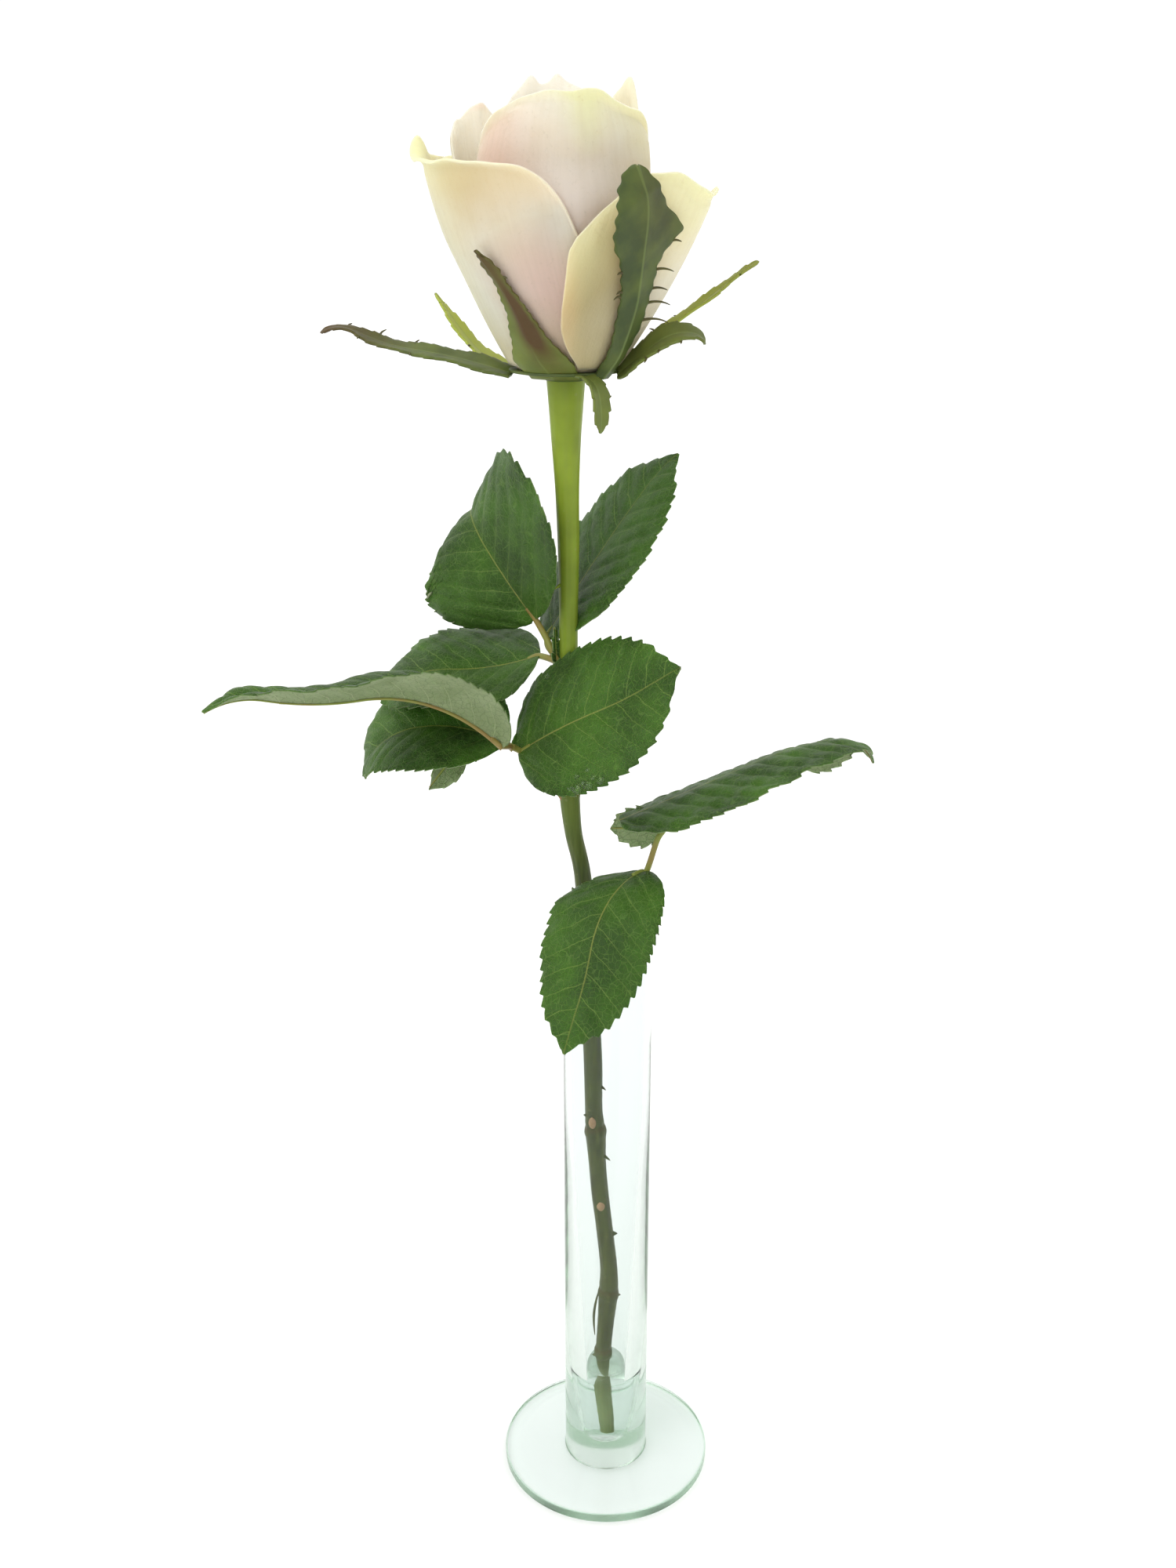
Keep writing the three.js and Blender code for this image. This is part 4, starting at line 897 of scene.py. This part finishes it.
# The two pressed sepals: the petal each lies on, and at even places from root to tip the degrees round of
# its rib and the degrees from there to its first and its second edge; its height; how far its rib stands
# up and its tip stands off; its brown spots as for petals, and its whiskers.
PRESSED = [
    dict(petal=0, rib=(256.7, 248.7, 245.2, 242.7, 241.2, 239, 236, 233, 230, 227),
         first=(30.7, 27.2, 20.2, 14.2, 10.2, 7.5, 5.0, 3.8, 3.4, 1.5),
         second=(30.7, 27.2, 20.2, 14.2, 10.2, 7.5, 5.4, 4.8, 4.2, 1.5), high=27, ridge=0.5, lift=1.6,
         young=0.22, brown=((0.42, 0.3, 0.28, 0.6, 1.5), (1, 0, 0.35, 2, 0.9)),
         whiskers=((0.55, -1, 1), (0.8, -1, 1.5))),
    dict(petal=1, rib=(311.5, 314, 313.5, 312.5, 311, 308.6, 306.4, 304.6, 303.2, 301.2, 298.2, 295.5),
         first=(10.5, 10.5, 9.9, 10.2, 10.6, 10.2, 11, 14.8, 14, 12, 9, 6.5),
         second=(10.5, 10.4, 10, 10.2, 10.4, 10.2, 10.8, 15.5, 19.8, 11.2, 8, 6.5), high=44, ridge=0.9,
         lift=0.6, young=0, brown=((0.85, 0.5, 0.25, 0.8, 0.25),),
         whiskers=((0.66, -1, 2.5), (0.53, -1, 4.5), (0.44, -1, 4), (0.36, -1, 6), (0.28, -1, 7),
                   (0.52, 1, 2.5), (0.43, 1, 3), (0.4, 1, 4))),
]


def sepal_outline(form):
    """Half a sepal's width along its rib: the root's power times the taper's, with greatest value one."""
    root, taper = form
    widest = max((root - 0.03 * taper) / (root + taper), 0)
    best = (widest + 0.03) ** root * (1 - widest) ** taper
    return lambda s: np.clip(s + 0.03, 0, None) ** root * np.clip(1 - s, 0, 1) ** taper / best


def browned_all(part, brown):
    """Marks a part as far from any rib, and tints it evenly brown."""
    part["mark"] = np.tile([0.0, 5.0, 0.0], (len(part["points"]), 1))
    part["tint"] = np.tile([brown, 0.0, 0.0], (len(part["points"]), 1))
    return part


def whisker(root, away, along, length):
    """A side lobe: a thin brown rod that leaves sideways, bends and thins out to a point."""
    u = np.linspace(0, 1, 18)[:, None]
    path = root + unit(away) * length * u + unit(along) * length * 0.35 * (u - 1.3 * u ** 2)
    return browned_all(rod(path, 0.3 * (1 - u[:, 0]) ** 0.6 + 0.06, 8), 0.55)


# A sepal's marks are in millimetres along and across it, and its tint holds how brown and how young it is.
calyx_parts = []
rows, columns = SEPAL_MESH
for shape in SEPALS:
    leaf = {**PLAIN_LEAF, "teeth": 0.5, "quilt": 0.12, "wave": 0.25, **shape}
    grid, marks = leaf_grid(leaf, sepal_outline(shape["form"]), rows, columns)
    grid = grid + CALYX
    brown = shape["tip"] * np.clip((marks[0] / shape["length"] - 0.45) / 0.5, 0, 1)
    calyx_parts.append(closed_blade(grid, SEPAL_THICK, marks, (brown, shape["young"], 0)))
    for at, side, reach in shape["whiskers"]:
        row = int(at * (rows - 1))
        rib, edge = grid[row, columns // 2], grid[row, -1 if side > 0 else 0]
        ahead = grid[row + 1, columns // 2] - rib
        calyx_parts.append(whisker(edge - 0.2 * (edge - rib), edge - rib, ahead, reach))
# A pressed sepal follows its petal's round, is ridged along its rib and dips in at its foot.
rows, columns = PRESSED_MESH
s = 0.9995 * np.sin(np.linspace(0, np.pi / 2, rows))[:, None]
v = np.linspace(-1, 1, columns)[None, :]
foot = np.clip(1 - s / 0.12, 0, 1) ** 2
tip = np.sqrt(np.clip(1 - np.clip((s - 0.88) / 0.12, 0, 1) ** 2, 0, 1))
for shape in PRESSED:
    host = PETALS[shape["petal"]]
    rise = shape["high"] * s
    middle, first, second = [places(shape[key], s) for key in ("rib", "first", "second")]
    half = np.where(v < 0, first, second) * tip
    angle = middle + v * half + 0.5 * np.sin(s * 90) * np.abs(v) ** 6
    spot = (angle - host["turn"]) / (host["span"] / 2)
    crest = places(host["crest"], (np.clip(spot, -1, 1) + 1) / 2)
    part_way = np.clip((rise + 1.5 - PETAL_LOW) / (crest - PETAL_LOW), 0, 1.05)
    radius = petal_radius(host["radii"], part_way) + lap_at(host, spot) + PRESSED_OFF + shape["lift"] * s ** 8
    radius = radius + shape["ridge"] * (1 - np.abs(v) ** 0.7) + 0.25 * np.sin(s * 25 + v * 2) * np.abs(v) ** 2
    radius = radius - 2 * foot
    grid = CALYX + round_axis(radius, np.radians(angle), 1.2 + rise - foot)
    marks = (rise, np.radians(half) * radius * v)
    tint = (spots(shape["brown"], s, v), shape["young"], 0)
    calyx_parts.append(closed_blade(grid, PRESSED_THICK, marks, tint))
    for at, side, reach in shape["whiskers"]:
        row = int(np.interp(at, s[:, 0], np.arange(rows)))
        rib, edge = grid[row, columns // 2], grid[row, -1 if side < 0 else 0]
        ahead = grid[row + 1, columns // 2] - rib
        away = unit(edge - rib) + 0.7 * unit((edge - CALYX) * [1, 1, 0])
        calyx_parts.append(whisker(edge - 0.3 * away, away, ahead, reach))
dish = turned(rounded(DISH, 0.6), 96)
dish["points"] += CALYX
calyx_parts.append(browned_all(dish, 0))

# Sepal: like a leaf but without its net, satin, fresh green with brown tips and edges.
sepal_finish, tree, shader, place = finish_of("rose_sepal", {
    "Roughness": 0.5, "Specular IOR Level": 0.3, "Subsurface Weight": 0.08, "Subsurface Scale": 0.001})
mark = add(tree, "Attribute", attribute_name="mark").outputs["Vector"]
tint = add(tree, "Attribute", attribute_name="tint").outputs["Vector"]
across = add(tree, "SeparateXYZ", {0: mark}).outputs["Y"]
brown, young = add(tree, "SeparateXYZ", {0: tint}).outputs[:2]
out = add(tree, "Math", {0: across}, operation="ABSOLUTE")
patch = add(tree, "TexNoise", {"Vector": place, "Scale": 160.0, "Detail": 3.0})
patch = add(tree, "MapRange", {0: patch, 1: 0.35, 2: 0.65})
fuzz = add(tree, "Bump", {"Height": patch, "Strength": 0.3, "Distance": 0.0003})
feed(tree, shader, {"Normal": fuzz, "Base Color": laid_over(tree, "#3c4a24", [
    (patch, 0, 1, 1, "#526029"), (young, 0, 1, 1, "#a3b04a"), (out, 0.35, 0.12, 0.36, "#7f9150"),
    (brown, 0, 1, 1, "#503c1f")])})

piece_of("calyx", calyx_parts, [sepal_finish], ["calyx"])
